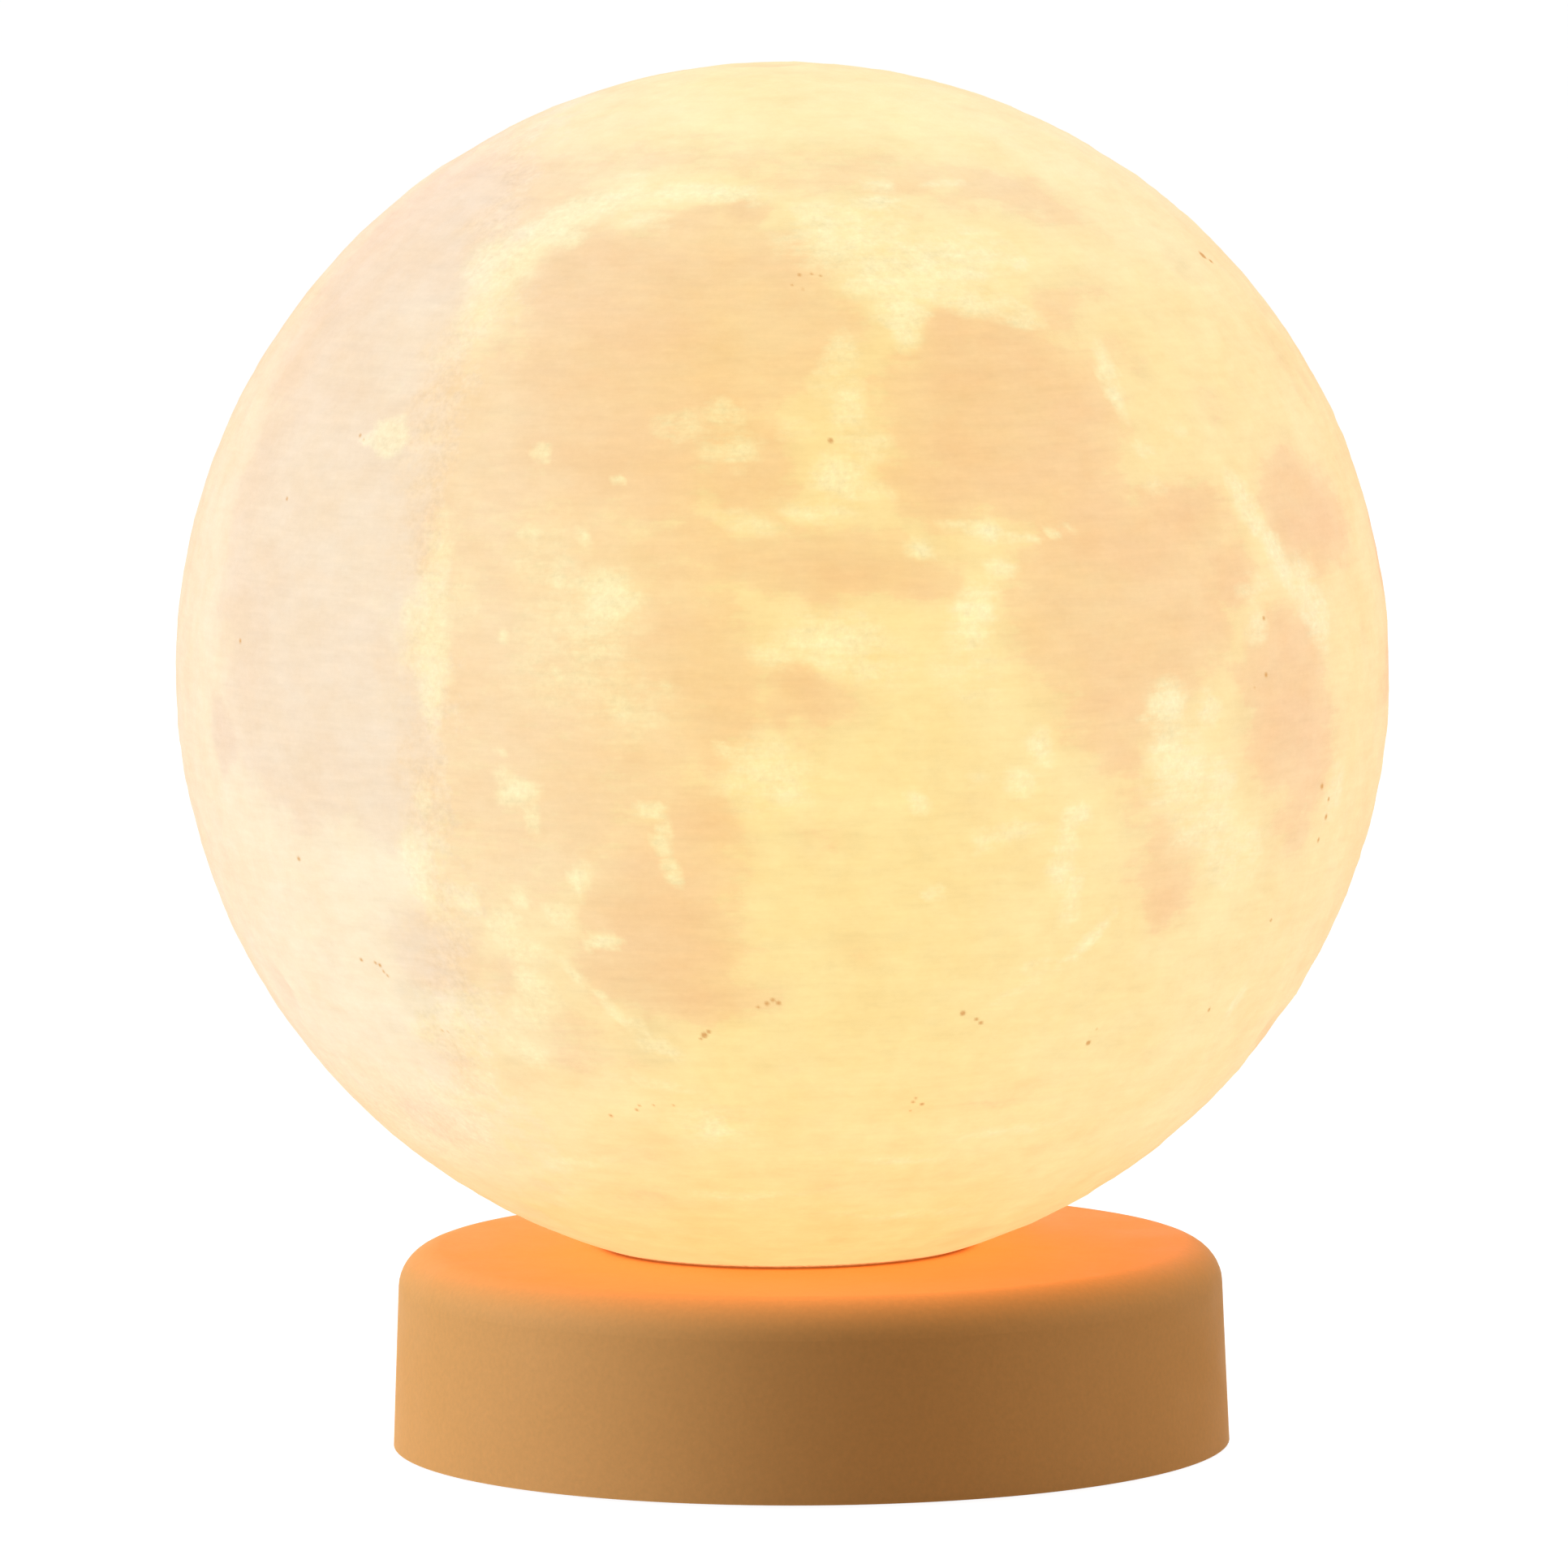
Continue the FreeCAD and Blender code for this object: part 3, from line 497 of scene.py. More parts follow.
# Lowlands: latitude, longitude, half height, half width, tilt, darkness.
lowlands = [
    (38, -15, 11, 14.5, 0, 1.0), (40, -29, 8, 7, 0, 1.0), (29, -20, 12, 14, 0, 0.9),
    (44, -8, 5, 8, 0, 1.0), (22, -7, 4, 4.5, 0, 1.0), (26, -33, 12, 8, 0, 0.75),
    (49, -16, 2, 6, 0, 0.9), (38, -62, 20, 14, 20, 0.75), (15, -58, 18, 14, 0, 0.9),
    (-1, -54, 13, 13, 0, 0.95), (50, -48, 9, 10, 30, 0.7), (18, -44, 14, 10, 0, 0.8),
    (-5, -43, 9, 10, 0, 0.85), (57, -42, 4, 12, 10, 0.55), (12, -30, 14, 12, 0, 0.6),
    (2, -24, 16, 16, 0, 0.68), (-10, -28, 9, 12, 0, 0.62), (4, -13, 8, 8, 0, 0.8),
    (-9, -22, 6, 6, 0, 0.8), (14, -14, 5, 9, 0, 0.7), (-2, -10, 5, 5, 0, 0.85),
    (-16, -33, 7, 8, 0, 0.5), (-24.5, -40.5, 4.6, 5.4, 0, 1.05), (-20, -15, 9.5, 7.8, 0, 1.0),
    (-11, -11, 4, 4, 0, 0.95), (-26.5, -12, 3.4, 6.5, 8, 1.1), (-23, -19, 6, 5, 0, 0.85),
    (-33, -27, 4.5, 8, -20, 0.55), (-27, -32, 5, 5, 0, 0.5), (58, -12, 3, 13, 0, 0.5),
    (56, 12, 3.4, 15, 0, 0.62), (54, 32, 4, 8, -25, 0.8), (61, -22, 2.4, 10, 0, 0.4),
    (50, -62, 8, 12, 30, 0.8), (19, 27, 3, 5, 0, 1.0), (52, 20, 3, 7, 0, 0.5),
    (58, -30, 4, 12, 10, 0.5), (58, 5, 4, 14, 0, 0.45), (51.6, -9.4, 1.6, 2.4, 0, 1.1),
    (50.5, -14, 0.9, 1.4, 0, 0.7), (28, 19.5, 10, 12, 0, 1.0), (35, 14, 3.6, 3.2, 0, 1.15),
    (34, 24, 4, 6, 0, 0.95), (21, 12, 3.6, 5, 0, 0.9), (23, 27, 5, 5, 0, 0.95),
    (38, 31, 3, 4, 0, 0.7), (33, 36, 3, 3, 0, 0.5), (41, 36, 3, 3, 0, 0.45),
    (14, 1, 3.6, 9.5, 0, 1.0), (12, 9, 2.8, 3.6, 0, 0.95), (13.5, -7, 3, 6, 0, 0.85),
    (0.8, -1.5, 3.2, 4.8, 0, 1.05), (10, 29, 10, 12, 0, 1.0), (17, 37, 4.5, 6, 0, 1.0),
    (12, 42.5, 3.4, 3.6, 0, 1.0), (2, 29, 5, 7, 0, 1.0), (-3.5, 27.5, 4, 3.6, 0, 0.9),
    (7, 38, 4, 4, 0, 0.95), (17, 58.8, 6.0, 8.0, 0, 1.15), (-15, 35.5, 5, 5, 0, 0.7),
    (-18.5, 37, 2.8, 3.6, 0, 0.9), (-9, 31, 4, 3, 0, 0.55), (2, 50, 7, 7, 0, 1.0),
    (-3, 51.5, 5.6, 8, 0, 1.0), (-11, 54, 5, 4.5, 0, 0.7), (3, 44, 2, 3, 0, 0.7),
    (-5.5, -68.3, 3.6, 2.8, 0, 1.1), (-38, -46, 3, 4, 0, 0.5), (-46, -57, 3, 4, 0, 0.6),
    (28, 47, 3, 3, 0, 0.45), (-12, 0, 2, 2.6, 0, 0.45), (-9, 14, 2, 2, 0, 0.35),
    (-22, 4, 2.4, 2.2, 0, 0.35), (-48, -20, 2, 10, 8, 0.35), (-52, 5, 1.6, 8, -5, 0.3),
    (-56, -25, 2, 6, 0, 0.4), (-38, 24, 1.8, 7, 15, 0.35), (-35, -2, 1.4, 5, 0, 0.3),
    (13, 87, 6, 8, 10, 0.8), (2, 81, 3, 8, 25, 0.65), (-8, 92, 4, 5, 0, 0.5),
    (-40, 95, 11, 11, 0, 0.6), (27, 148, 5, 5, 0, 0.9), (-19, -95, 5, 5, 0, 0.9),
    (-34, 163, 6, 7, 0, 0.8), (-55, -170, 12, 12, 0, 0.5), (5, 141, 3, 3, 0, 0.6),
    (50, 120, 5, 9, 10, 0.4), (10, -140, 5, 7, 0, 0.45), (-15, 120, 4, 6, 20, 0.4),
    (40, -120, 4, 6, 0, 0.4), (20, -110, 6, 9, 15, 0.6), (-5, -106, 5, 6, 0, 0.55),
    (36, -100, 5, 8, -20, 0.55), (-30, -112, 6, 7, 0, 0.5), (0, -130, 4, 7, 0, 0.45),
    (52, -145, 4, 9, 10, 0.45), (-40, -140, 5, 9, -10, 0.5), (15, -165, 6, 8, 0, 0.5),
    (-10, 155, 5, 8, 20, 0.55), (30, 115, 5, 7, 0, 0.55), (-30, 125, 5, 9, -15, 0.5),
    (5, 118, 4, 5, 0, 0.5), (-60, 110, 4, 12, 0, 0.45), (60, -100, 3, 10, 0, 0.4),
    (-5, -178, 4, 6, 0, 0.45),
]

# Bright ground, given in the same way, with its brightness last.
bright_ground = [
    (9.6, -20.1, 2.4, 2.6, 0, 1.5), (8.5, -22.5, 4, 6, 0, 0.5), (13, -27, 3, 3.5, 0, 0.5),
    (15, -28.5, 1.0, 1.2, 0, 1.0), (15, -23, 0.8, 0.8, 0, 1.0), (11, -25, 0.9, 0.9, 0, 1.0),
    (5, -21, 1, 3, 0, 0.7), (6, -28, 1, 2, 0, 0.5), (23.7, -47.5, 1.5, 2.0, 10, 2.4),
    (23.2, -50, 0.5, 1.6, 0, 1.0), (25.6, -47, 0.8, 0.7, 0, 0.9), (23, -28.5, 0.9, 0.7, 0, 1.1),
    (20.5, -20, 0.5, 0.6, 0, 1.2), (26, -14.5, 1.4, 2.6, 0, 0.55), (24, -9.5, 2, 3, 0, 0.5),
    (27, -10, 1.2, 2, 0, 0.6), (8, -38.5, 3.2, 2.6, 5, 1.1), (3, -37.5, 5, 1.9, 0, 1.0),
    (14, -38, 3, 1.6, 0, 0.7), (-1.5, -37.5, 2, 1, 0, 0.8), (9, -34.5, 3, 1.5, 0, 0.5),
    (43, -42.5, 4.2, 4.0, 30, 1.05), (47.5, -38, 3, 4.6, 30, 1.0), (51.5, -31, 1.9, 7, 14, 0.8),
    (49, -25, 1.2, 3, 0, 0.7), (53, -15, 1.4, 5, 0, 0.9), (38, -42, 2.6, 2.4, 0, 0.8),
    (46, -33.5, 1, 1.2, 0, 0.7), (53, -22, 1.2, 4, 0, 0.7), (55, -28, 1, 4, 0, 0.5),
    (47, 4, 4, 6, 0, 0.8), (44, 12, 3.4, 8, 0, 0.8), (42, 8, 2.4, 4, 0, 1.0),
    (38.5, 9, 2.2, 2.4, 0, 1.1), (36, 9, 1.6, 1.5, 0, 1.2), (39.5, 18, 1.6, 6, -12, 0.9),
    (37.5, 23.5, 1, 3, -10, 0.9), (50, 0, 2, 4, 0, 0.7), (52, 10, 1.6, 4, 0, 0.5),
    (46, 22, 2.4, 4, -15, 0.6), (33.5, 2, 2.6, 1.8, 0, 0.8), (28, 2.5, 4, 1.8, 0, 0.7),
    (31, -0.5, 2, 1.2, 0, 0.6), (21.5, 1.5, 2.2, 2.4, 0, 1.2), (24, 4.5, 1.4, 2.2, 0, 0.9),
    (18.2, -1, 1.1, 4, -8, 0.7), (17.0, -7, 0.9, 4, -14, 0.6), (20, 5, 1.2, 2, 0, 0.7),
    (25.5, -3, 1.5, 2, 0, 0.4), (14.5, 9.1, 1.1, 1.2, 0, 1.6), (16.3, 15.6, 0.9, 1.5, 0, 1.7),
    (15.6, 18.5, 0.6, 2, 0, 1.0), (13, 16.5, 1.0, 1.3, 0, 1.0), (16, 22, 0.6, 0.9, 0, 0.9),
    (16.4, 24.2, 0.4, 0.8, 0, 0.7), (17, 12.5, 0.6, 1.6, 0, 0.7), (8, 13.5, 3.6, 2.0, -20, 1.0),
    (10.5, 14.5, 1.6, 1.6, 0, 0.8), (6.5, 0.5, 2.8, 4.5, 0, 0.9), (5, -4, 1.6, 2.5, 0, 0.7),
    (4, 5, 2, 3, 0, 0.6), (3, 13, 3, 4, 0, 0.4), (-3, 20.5, 1.8, 1.2, 0, 1.0),
    (-6.5, 18.6, 1.4, 1.5, 0, 1.0), (-8.2, 9, 1.0, 1.1, 0, 1.0), (-17, 11, 0.8, 1.1, 0, 1.0),
    (-6, 14, 1, 2, 0, 0.4), (-11.2, 18, 1.1, 3.2, 10, 0.7), (-13.5, 23.5, 2.8, 1.3, 0, 0.9),
    (-17.5, 25, 2.6, 1.2, -10, 0.7), (-10, 24.5, 1.4, 1.6, 0, 0.8), (-12, 15.5, 1.2, 1.4, 0, 0.7),
    (-22, 28, 0.6, 4.2, 48, 0.9), (-27, 21, 0.5, 3, 40, 0.5), (-24, 23, 0.5, 2, 40, 0.5),
    (0.5, 34, 2.2, 2.2, 0, 1.0), (-3, 34.5, 3, 3, 0, 0.75), (-7, 35.5, 3.2, 4.2, 0, 0.7),
    (-11, 40, 3.2, 4.4, 0, 0.6), (-14, 45, 3.4, 4.2, 0, 0.6), (-7, 41, 2.2, 2, 0, 0.65),
    (0, 39, 2, 1.4, 0, 0.6), (-1, 31.6, 0.8, 0.8, 0, 0.8), (18.5, 47, 3.2, 1.5, 28, 1.0),
    (13.5, 50.5, 4, 1.5, 24, 1.0), (9, 55.5, 4.5, 2.4, 22, 0.8), (7, 45.5, 1.8, 1.6, 0, 0.7),
    (10.5, 46, 1.4, 2.4, 0, 0.6), (-8.5, -28.5, 1.1, 2.0, 0, 1.3),
    (-10.8, -27.5, 1.4, 0.8, 0, 1.0), (-7, -29.5, 0.9, 1.2, 0, 0.9),
    (-9.5, -16.2, 0.8, 1.3, 0, 1.2), (-12, -15, 1.4, 0.8, 0, 1.0), (-14.5, -14, 2.0, 0.8, 20, 0.9),
    (-4, -6, 2, 3.4, 0, 0.6), (-6.5, -4.5, 3, 4.5, 0, 0.8), (-3.5, -9, 1, 1.2, 0, 0.6),
    (0, -19, 0.7, 0.9, 0, 1.0), (3.5, -23.6, 5, 7, 0, 0.42), (0, -18, 4, 5, 0, 0.32),
    (3.2, -24.5, 0.35, 0.4, 0, 1.0), (-4.6, -30, 0.4, 0.4, 0, 1.0), (2, -15, 0.5, 0.5, 0, 0.5),
    (6, -30.5, 0.4, 0.4, 0, 0.8), (-16.5, -23, 2.2, 0.9, -15, 1.2), (-20, -25.0, 1.6, 1.3, 0, 0.9),
    (-22.2, -21.3, 0.8, 1.4, 0, 1.6), (-18.5, -29.5, 1, 1, 0, 0.9),
    (-21.5, -31.5, 2.2, 1.6, 0, 1.1), (-24, -29.5, 1.2, 2.2, 0, 1.0),
    (-26, -24.5, 2, 0.7, 35, 1.0), (-28, -29.5, 2.4, 1.8, 20, 1.1), (-17, -40.5, 3.6, 1.4, 8, 1.0),
    (-14.5, -41, 1.6, 1.8, 0, 0.9), (-18.5, -35.5, 1.4, 1.2, 0, 0.9), (-30.5, -31.5, 2, 2, 0, 0.8),
    (-34, -33, 3, 2, 30, 0.7), (-33.5, -17, 1.0, 2.4, -25, 1.0), (-29, -21.5, 3.2, 0.6, 30, 0.8),
    (-31, -18.5, 1.2, 0.7, 0, 0.8), (-9, -39, 2, 1, 0, 0.6), (-6, -5, 4, 5, 0, 0.4),
    (-43.3, -11.4, 1.8, 2.0, 0, 1.0), (-43.5, -11.4, 3.6, 4.4, 0, 0.4), (24, 35, 1, 1, 0, 0.8),
    (31, 33, 3.6, 1.0, 0, 0.8), (20.5, 35, 1.0, 1.4, 0, 0.6), (46, 18, 1.0, 1.2, 0, 0.9),
    (44, 27, 1.2, 1.4, 0, 0.8), (55, 10, 1.0, 1.6, 0, 0.8), (55, 22, 0.8, 2, 0, 0.6),
    (-30, 55, 2, 1, 0, 0.5), (-9, 61, 3, 2, 0, 0.6), (26, 40, 1, 1.4, 0, 0.5),
    (-48, 12, 0.8, 7, -6, 0.5), (-54, -8, 0.8, 9, 4, 0.5), (-38, -18, 0.7, 5, -8, 0.5),
    (-44, 28, 0.9, 6, 12, 0.5), (-58, 18, 1.0, 8, -4, 0.5), (-50, -34, 1.0, 5, 10, 0.5),
    (-10, 107, 1.6, 1.6, 0, 1.3), (22, 120, 1.2, 1.2, 0, 1.3), (36, -170, 1.4, 1.4, 0, 1.3),
    (-21, -152, 1.0, 1.0, 0, 1.3), (-12, -118, 1.2, 1.2, 0, 1.2), (5, 172, 1.0, 1.0, 0, 1.1),
    (-50, 140, 1.4, 1.4, 0, 1.1), (44, 155, 1.0, 1.0, 0, 1.1), (15, 108, 3, 5, 20, 0.6),
    (-30, -130, 4, 6, 10, 0.5), (58, -150, 3, 6, 0, 0.5), (-5, -165, 5, 6, 0, 0.4),
    (-60, 80, 3, 6, 0, 0.5), (28, -105, 2, 4, 30, 0.9), (-18, -108, 3, 3, 0, 1.0),
    (8, -118, 2, 5, -20, 0.8), (40, -132, 3, 5, 10, 0.8), (-35, -125, 2, 6, 20, 0.8),
    (-48, -110, 2, 5, 0, 0.9), (12, -150, 3, 4, 0, 0.9), (-25, -165, 3, 5, -30, 0.9),
    (0, 162, 2, 6, 10, 0.8), (20, 165, 3, 4, 0, 0.8), (-26, 147, 2, 6, -20, 0.9),
    (35, 135, 3, 4, 0, 0.9), (-9, 131, 3, 3, 0, 1.0), (12, 130, 2, 5, 0, 0.8),
    (-45, 165, 3, 5, 0, 0.8), (55, 170, 2, 7, 0, 0.7),
]

# Small burnt specks in the print: latitude, longitude and radius.
specks = [
    (23.8, -52.0, 0.2), (23.4, -51.2, 0.12), (24.8, 0.6, 0.28), (42.5, -2.5, 0.2),
    (42.6, -1.0, 0.16), (42.4, 0.1, 0.16), (41.3, -3.4, 0.14), (40.8, -2.1, 0.12),
    (44.5, 66.8, 0.5), (43.7, 67.8, 0.3), (7.7, 47.0, 0.22), (2.5, 47.0, 0.26), (1.4, 45.2, 0.12),
    (-26.0, -51.8, 0.22), (-26.2, -49.8, 0.2), (-26.4, -49.2, 0.24), (-27.0, -48.9, 0.2),
    (-27.4, -48.5, 0.18), (-31.9, -11.6, 0.34), (-31.5, -11.1, 0.24), (-32.3, -12.0, 0.18),
    (-28.7, -5.8, 0.18), (-28.3, -4.9, 0.26), (-27.9, -4.3, 0.24), (-28.2, -3.7, 0.26),
    (-29.3, 15.9, 0.3), (-30.0, 17.6, 0.22), (-30.4, 18.2, 0.24), (-33.2, 32.7, 0.3),
    (-31.6, 33.0, 0.12), (-41.4, -21.0, 0.2), (-40.8, -20.5, 0.16), (-42.4, -24.7, 0.22),
    (-40.7, -18.7, 0.14), (-40.6, -16.2, 0.14), (-39.8, 12.7, 0.2), (-40.1, 13.9, 0.24),
    (-41.0, 12.7, 0.14), (-39.3, 12.9, 0.16), (-33.1, -43.6, 0.14), (-33.2, -42.8, 0.12),
    (-16.3, -57.4, 0.24), (-8.4, 58.2, 0.3), (-9.7, 60.0, 0.24), (-11.4, 60.2, 0.3),
    (-13.6, 59.7, 0.26), (-21.2, 54.5, 0.2), (-30.4, 49.9, 0.24), (17.2, -60.9, 0.2),
    (3.6, -65.2, 0.24), (20, 140, 0.3), (-18, 165, 0.3), (30, -120, 0.3),
]

# Craters too small to be mapped one by one are strewn at random. Small ones are far more common
# than large ones.
strewn_count = 900
strewn_least, strewn_most = 0.7, 6.0
strewn_seed = 11
shore_seed = 12
noise.seed_set(shore_seed)
deepest_crater = 0.00032


def direction(lat, lon):
    """The direction of a latitude and longitude on the printed Moon, in degrees."""
    lat, lon = math.radians(lat), math.radians(lon)
    return np.array((math.cos(lat) * math.sin(lon), -math.cos(lat) * math.cos(lon), math.sin(lat)))


def depth_in_oval(points, lat, lon, tall, wide, tilt=0):
    """How far each point lies inside a tilted oval, in degrees, and less than 0 outside it."""
    centre = direction(lat, lon)
    north = direction(lat + 90, lon) if lat < 0 else -direction(lat - 90, lon)
    x, y = np.degrees(points @ np.cross(north, centre)), np.degrees(points @ north)
    turn = math.radians(tilt)
    along = (x * math.cos(turn) + y * math.sin(turn)) / wide
    across = (y * math.cos(turn) - x * math.sin(turn)) / tall
    return np.where(points @ centre > 0, (1 - np.hypot(along, across)) * min(tall, wide), -90.0)


def smooth_step(value, low, high):
    t = np.clip((value - low) / (high - low), 0, 1)
    return t * t * (3 - 2 * t)


def pushed(points, amounts):
    """The points moved about by noise of several sizes."""
    moved = points.copy()
    for scale, amount in amounts:
        drift = np.array([noise.turbulence_vector(Vector(p) * scale, 3, False) for p in points])
        moved += amount * (drift - drift.mean(0))
    return moved / np.linalg.norm(moved, axis=1)[:, None]


def crater_relief(points):
    """Height of the strewn craters over each point: a bowl inside a low rim."""
    random = np.random.default_rng(strewn_seed)
    centres = random.normal(size=(strewn_count, 3))
    centres /= np.linalg.norm(centres, axis=1)[:, None]
    share = random.random(strewn_count)
    radii = strewn_least * (1 - share * (1 - (strewn_least / strewn_most) ** 1.7)) ** (-1 / 1.7)
    height = np.zeros(len(points))
    for centre, radius, age in zip(centres, np.radians(radii), random.random(strewn_count)):
        distance = np.linalg.norm(points - centre, axis=1) / radius
        hit = distance < 2
        near = distance[hit]
        bowl = np.where(near < 1, near ** 2 * 1.25 - 1, 0.25 * np.exp(-((near - 1) / 0.28) ** 2))
        height[hit] += bowl * min(radius * globe_radius * (0.03 + 0.04 * age), deepest_crater)
    return height


def moon_fields(directions):
    """How far each point is lowland, bright and speck, and its height over the round globe."""
    points = directions @ np.array(map_turn)
    warped = pushed(points, ((4, 0.028), (11, 0.022), (26, 0.010)))
    low = np.zeros(len(points))
    for lat, lon, tall, wide, tilt, dark in lowlands:
        soft = min(4.6, 0.85 * min(tall, wide))
        inside = smooth_step(depth_in_oval(warped, lat, lon, tall, wide, tilt), -soft, soft)
        low = np.maximum(low, dark * inside)
    near = pushed(points, ((11, 0.010), (30, 0.008)))
    bright = np.zeros(len(points))
    for lat, lon, tall, wide, tilt, strength in bright_ground:
        soft = 0.6 * min(tall, wide)
        inside = smooth_step(depth_in_oval(near, lat, lon, tall, wide, tilt), -soft, soft * 1.2)
        bright = np.maximum(bright, strength * inside)
    speck = np.zeros(len(points))
    for lat, lon, radius in specks:
        inside = smooth_step(depth_in_oval(points, lat, lon, radius, radius), -0.08, 0.16)
        speck = np.maximum(speck, inside)
    grain = np.array([noise.fractal(Vector(p) * 22, 0.6, 2.1, 6) for p in points])
    flat = np.clip(low, 0, 1)
    height = (grain * 0.0001 + crater_relief(points)) * (1 - 0.85 * flat)
    height += -0.0002 * flat + 0.0001 * np.clip(bright, 0, 1)
    return low, bright, speck, height


def globe_mesh():
    bm = bmesh.new()
    bmesh.ops.create_cube(bm, size=2.0)
    bmesh.ops.subdivide_edges(bm, edges=bm.edges[:], cuts=globe_cuts, use_grid_fill=True)
    for v in bm.verts:
        v.co = Vector(math.tan(c * math.pi / 4) for c in v.co).normalized()
    spots = [map_turn @ Vector(direction(lat, lon)) for lat, lon, radius in specks]
    closest = math.cos(math.radians(0.9))
    fine = {}
    for face in bm.faces:
        middle = face.calc_center_median().normalized()
        if max(middle.dot(spot) for spot in spots) > closest:
            fine.update(dict.fromkeys(face.edges))
    bmesh.ops.subdivide_edges(bm, edges=list(fine), cuts=3, use_grid_fill=True)
    for v in bm.verts:
        v.co.normalize()
    directions = np.array([v.co for v in bm.verts])
    low, bright, speck, height = moon_fields(directions)
    height *= smooth_step(directions[:, 2], -0.955, -0.90)
    layer = bm.verts.layers.float_color.new("moon")
    for v, *values, rise in zip(bm.verts, low, bright, speck, height):
        v[layer] = (*values, rise / 0.0002)
        v.co = globe_centre + v.co * (globe_radius + rise)
    up = (0, 0, 1)
    everything = bm.verts[:] + bm.edges[:] + bm.faces[:]
    bmesh.ops.bisect_plane(
        bm, geom=everything, plane_co=(0, 0, foot_z), plane_no=up, clear_inner=True
    )
    rim = [e for e in bm.edges if e.is_boundary]
    for v in dict.fromkeys(v for e in rim for v in e.verts):
        out = (v.co - globe_centre).to_2d().normalized()
        shift = foot_ragged * noise.noise(Vector((out.x * 40, out.y * 40, 3)))
        v.co.x, v.co.y = v.co.x + out.x * shift, v.co.y + out.y * shift
    neck_top = globe_centre.z - math.sqrt((globe_radius - globe_wall) ** 2 - neck_radius ** 2)
    for z in (foot_z, neck_top - neck_chamfer):
        made = bmesh.ops.extrude_edge_only(bm, edges=rim)["geom"]
        for v in (g for g in made if isinstance(g, bmesh.types.BMVert)):
            out = (v.co - globe_centre).to_2d().normalized() * neck_radius
            v.co = Vector((globe_centre.x + out.x, globe_centre.y + out.y, z))
        rim = [g for g in made if isinstance(g, bmesh.types.BMEdge)]
    inside = bmesh.ops.create_uvsphere(
        bm, u_segments=96, v_segments=48, radius=globe_radius - globe_wall,
        matrix=Matrix.Translation(globe_centre),
    )["verts"]
    edges = dict.fromkeys(e for v in inside for e in v.link_edges)
    faces = dict.fromkeys(f for v in inside for f in v.link_faces)
    cut = bmesh.ops.bisect_plane(
        bm, geom=[*inside, *edges, *faces], plane_co=(0, 0, neck_top), plane_no=up,
        clear_inner=True,
    )
    lip = [g for g in cut["geom_cut"] if isinstance(g, bmesh.types.BMEdge) and g.is_boundary]
    bmesh.ops.bridge_loops(bm, edges=rim + lip)
    bmesh.ops.recalc_face_normals(bm, faces=bm.faces)
    for face in bm.faces:
        face.smooth = True
    mesh = bpy.data.meshes.new("moon_globe")
    bm.to_mesh(mesh)
    bm.free()
    mesh.set_sharp_from_angle(angle=math.radians(50))
    return mesh


# The print's colours, seen in full light: on the right side, and on the left side, where painted
# window light pales them.
highland_colours = (254, 231, 162), (251, 238, 206)
lowland_colours = (254, 215, 154), (248, 230, 202)
splash_colours = (255, 242, 186), (254, 243, 206)
speck_colour = (222, 170, 104)
# The colour of the painted contact shadow, a thin ring along the globe's foot where it meets the
# base.
contact_shadow_colour = (184, 104, 48)


def shores(tree, low, bright, ragged):
    """The shares of lowland and of bright splash, with their edges broken up."""
    shore = plus(tree, ranged(tree, low, 0, 1, -1.1, 1.1), times(tree, ragged, 4.8))
    shore = ranged(tree, shore, -0.35, 0.35, 0, 1, "SMOOTHSTEP")
    wide = ranged(tree, low, 0.1, 1.1)
    lowland = plus(tree, times(tree, shore, 0.46), times(tree, wide, 0.54))
    broken = times(tree, times(tree, ragged, 4.4), ranged(tree, bright, 0, 0.5))
    splash = ranged(tree, plus(tree, bright, broken), 0.12, 1.6)
    lowland = times(tree, lowland, ranged(tree, splash, 0, 0.55, 1, 0))
    patches = ranged(tree, cloudy(tree, 42, 8, 0.7, (1, 1, 2.2)), 0.34, 0.6, 0.72, 1.08)
    return times(tree, lowland, patches), splash


def painted_window_light(tree, x, y, z):
    """How far painted window light pales the print: most on the left, less at the back and near
    the foot.
    """
    wander = times(tree, less(tree, cloudy(tree, 60, 9, 0.75), 0.5), 0.034)
    middle = less(tree, z, 0.098)
    bend = times(tree, times(tree, middle, middle), 2.6)
    edge = less(tree, plus(tree, x, wander), bend)
    pale = ranged(tree, edge, -0.032, -0.052, 0, 1, "SMOOTHSTEP")
    pale = worked(tree, "MAXIMUM", pale, ranged(tree, x, -0.010, -0.036, 0, 0.48))
    behind = plus(tree, y, times(tree, wander, 2.2))
    pale = times(tree, pale, ranged(tree, behind, 0.066, -0.030, 0, 1, "SMOOTHSTEP"))
    return times(tree, pale, ranged(tree, z, 0.034, 0.056, 0.4, 1))


def tinted_towards(tree, colour, share, *tint):
    return mixed(tree, share, colour, tinted(tree, colour, (*tint, 1)))


